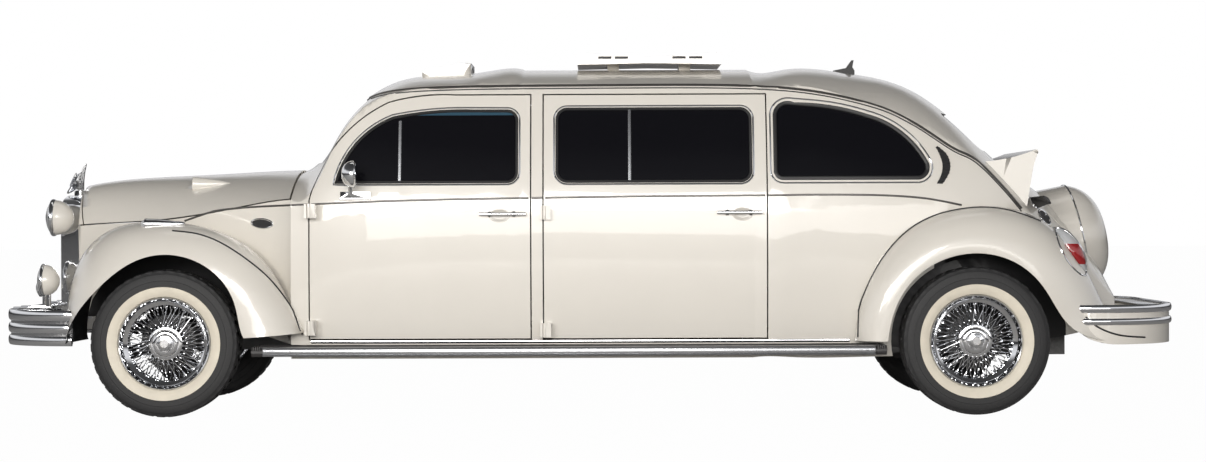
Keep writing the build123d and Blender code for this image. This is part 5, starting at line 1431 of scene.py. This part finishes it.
@dataclass(frozen=True)
class Studio:
    """The floor, the light and the camera.

    Attributes:
        camera_at: The camera's place.
        lens: Its focal length in millimetres.
        dip: How far it looks down, in degrees.
        roll: How far it is turned about its view, in degrees.
        lights: The softboxes, as name, place, width and height, power in watts, aim.
        bands: The surroundings from below to above, as pairs of a height and a shade.
    """

    camera_at: tuple[float, float, float] = (0.049, -11.76, 0.858)
    lens: float = 76.4
    dip: float = 0.31
    roll: float = -0.21
    lights: tuple[tuple, ...] = (
        ("key_light", (-1.5, -9.0, 2.3), (7.0, 1.8), 470.0, (0.1, 0.0, 0.55)),
        ("low_light", (1.5, -9.5, 1.2), (9.0, 1.0), 110.0, (0.0, 0.0, 0.6)),
        ("top_light", (0.0, 1.0, 6.5), (6.0, 1.6), 25.0, (0.0, 0.0, 0.8)))
    bands: Row = ((0.0, 0.50), (0.46, 0.55), (0.485, 0.03), (0.52, 0.04), (0.56, 0.85), (0.66, 0.95),
                  (0.74, 0.10), (1.0, 0.05))

    def build(self) -> None:
        """Builds the studio."""
        bpy.context.scene.view_settings.view_transform = "Standard"
        self.build_floor()
        self.build_world()
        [self.softbox(*light) for light in self.lights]
        self.build_camera()

    @staticmethod
    def softbox(name: str, place: Sequence[float], size: tuple[float, float], power: float,
                aim: Sequence[float]) -> bpy.types.Object:
        """Places one softbox.

        Args:
            name: The light's name.
            place: Where it stands.
            size: Its width and height.
            power: Its power in watts.
            aim: The point it faces.

        Returns:
            The light.
        """
        data = bpy.data.lights.new(name, "AREA")
        data.shape, data.size, data.size_y, data.energy = "RECTANGLE", size[0], size[1], power
        data.color = (1.0, 0.975, 0.94)
        made = bpy.data.objects.new(name, data)
        bpy.context.scene.collection.objects.link(made)
        made.location = place
        made.rotation_euler = (Vector(aim) - Vector(place)).to_track_quat("-Z", "Y").to_euler()
        return made

    @staticmethod
    def build_floor() -> None:
        """Builds the pale floor, nearly white to the camera."""
        bm = bmesh.new()
        bmesh.ops.create_grid(bm, x_segments=1, y_segments=1, size=60.0)
        mesh = bpy.data.meshes.new("floor")
        bm.to_mesh(mesh)
        bm.free()
        floor = bpy.data.objects.new("floor", mesh)
        bpy.context.scene.collection.objects.link(floor)
        made = bpy.data.materials.new("pale_floor")
        made.use_nodes = True
        nodes, links = made.node_tree.nodes, made.node_tree.links
        nodes.clear()
        out, mix, path = (nodes.new(f"ShaderNode{k}") for k in ("OutputMaterial", "MixShader", "LightPath"))
        plain, glow, share = (nodes.new(f"ShaderNode{k}") for k in ("BsdfDiffuse", "Emission", "Math"))
        plain.inputs["Color"].default_value = (0.62, 0.61, 0.60, 1)
        glow.inputs["Color"].default_value = (1, 1, 1, 1)
        share.operation = "MULTIPLY"
        share.inputs[1].default_value = 0.985
        links.new(path.outputs["Is Camera Ray"], share.inputs[0])
        links.new(share.outputs[0], mix.inputs[0])
        links.new(plain.outputs[0], mix.inputs[1])
        links.new(glow.outputs[0], mix.inputs[2])
        links.new(mix.outputs[0], out.inputs["Surface"])
        mesh.materials.append(made)

    def build_world(self) -> None:
        """Builds the surroundings: white to the camera, dim for light and reflections."""
        world = bpy.data.worlds.new("studio")
        bpy.context.scene.world = world
        world.use_nodes = True
        nodes, links = world.node_tree.nodes, world.node_tree.links
        nodes.clear()
        out, mix, path, dim, white = (nodes.new(f"ShaderNode{k}") for k in (
            "OutputWorld", "MixShader", "LightPath", "Background", "Background"))
        place, split, ramp = (nodes.new(f"ShaderNode{k}") for k in ("TexCoord", "SeparateXYZ", "ValToRGB"))
        scale = nodes.new("ShaderNodeMapRange")
        scale.inputs["From Min"].default_value = -1.0
        links.new(place.outputs["Generated"], split.inputs[0])
        links.new(split.outputs["Z"], scale.inputs["Value"])
        links.new(scale.outputs["Result"], ramp.inputs["Fac"])
        while len(ramp.color_ramp.elements) < len(self.bands):
            ramp.color_ramp.elements.new(0.5)
        for element, (at, shade) in zip(ramp.color_ramp.elements, self.bands):
            element.position, element.color = at, (shade, shade, shade * 1.02, 1)
        links.new(ramp.outputs["Color"], dim.inputs["Color"])
        dim.inputs["Strength"].default_value = 0.9
        white.inputs["Color"].default_value = (1, 1, 1, 1)
        links.new(path.outputs["Is Camera Ray"], mix.inputs[0])
        links.new(dim.outputs[0], mix.inputs[1])
        links.new(white.outputs[0], mix.inputs[2])
        links.new(mix.outputs[0], out.inputs["Surface"])

    def build_camera(self) -> None:
        """Places the camera for the side view."""
        data = bpy.data.cameras.new("side_camera")
        data.sensor_width, data.lens, data.clip_end = 36.0, self.lens, 200.0
        camera = bpy.data.objects.new("side_camera", data)
        bpy.context.scene.collection.objects.link(camera)
        camera.matrix_world = (Matrix.Translation(self.camera_at)
                               @ Matrix.Rotation(radians(90 - self.dip), 4, "X")
                               @ Matrix.Rotation(radians(self.roll), 4, "Z"))
        bpy.context.scene.camera = camera


def note_size() -> None:
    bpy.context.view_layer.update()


# The CAD nodes of the car's sides
SIDE_NODES = ("body_sides", "cowl", "tail", "roof", "front_tub", "hood", "front_fenders", "rear_fenders",
              "rear_valance", "door_front_left", "door_front_right", "door_rear_left", "door_rear_right",
              "fixed_glass", "tail_lamps", "door_front_glass_left", "door_front_glass_right",
              "door_rear_glass_left", "door_rear_glass_right")
# For each axle: its end, its place and the place of its wheels across the car
AXLES = (("front", FRONT_AXLE_X, FRONT_HUB_Y), ("rear", REAR_AXLE_X, REAR_HUB_Y))
# For each pair of doors: its end, front edge, divider, handle's dish and belt moulding
DOORS = (("front", -1.229, -0.836, (-0.401, 0.866, 0.046),
          ((-1.223, 0.9185), (-0.900, 0.931), (-0.600, 0.938), (-0.274, 0.942))),
         ("rear", -0.208, 0.166, (0.655, 0.870, 0.046), ((-0.202, 0.943), (0.200, 0.948), (0.754, 0.950))))


def main() -> None:
    """Builds the car, then the studio."""
    logging.basicConfig(level=logging.INFO, format="%(message)s")
    note_size()
    sides = Skin(*SIDE_NODES)
    Paintwork().build()
    LOG.info("paintwork built")
    for end, x, y in AXLES:
        for side in SIDES:
            Wheel(f"{end}_{SIDE_NAME[side]}", x, y, side).build()
    LOG.info("wheels built")
    for side in SIDES:
        for end, *sizes in DOORS:
            Door(end, side, *sizes).build(sides)
    LOG.info("doors dressed")
    Lamps().build()
    for part in (Nose(), Flanks(), Tail()):
        part.build(sides)
        LOG.info("%s built", type(part).__name__)
    for part in (Roof(), Cabin(), Mirrors(), Studio()):
        part.build()
        LOG.info("%s built", type(part).__name__)
    note_size()


if __name__ == "__main__":
    main()
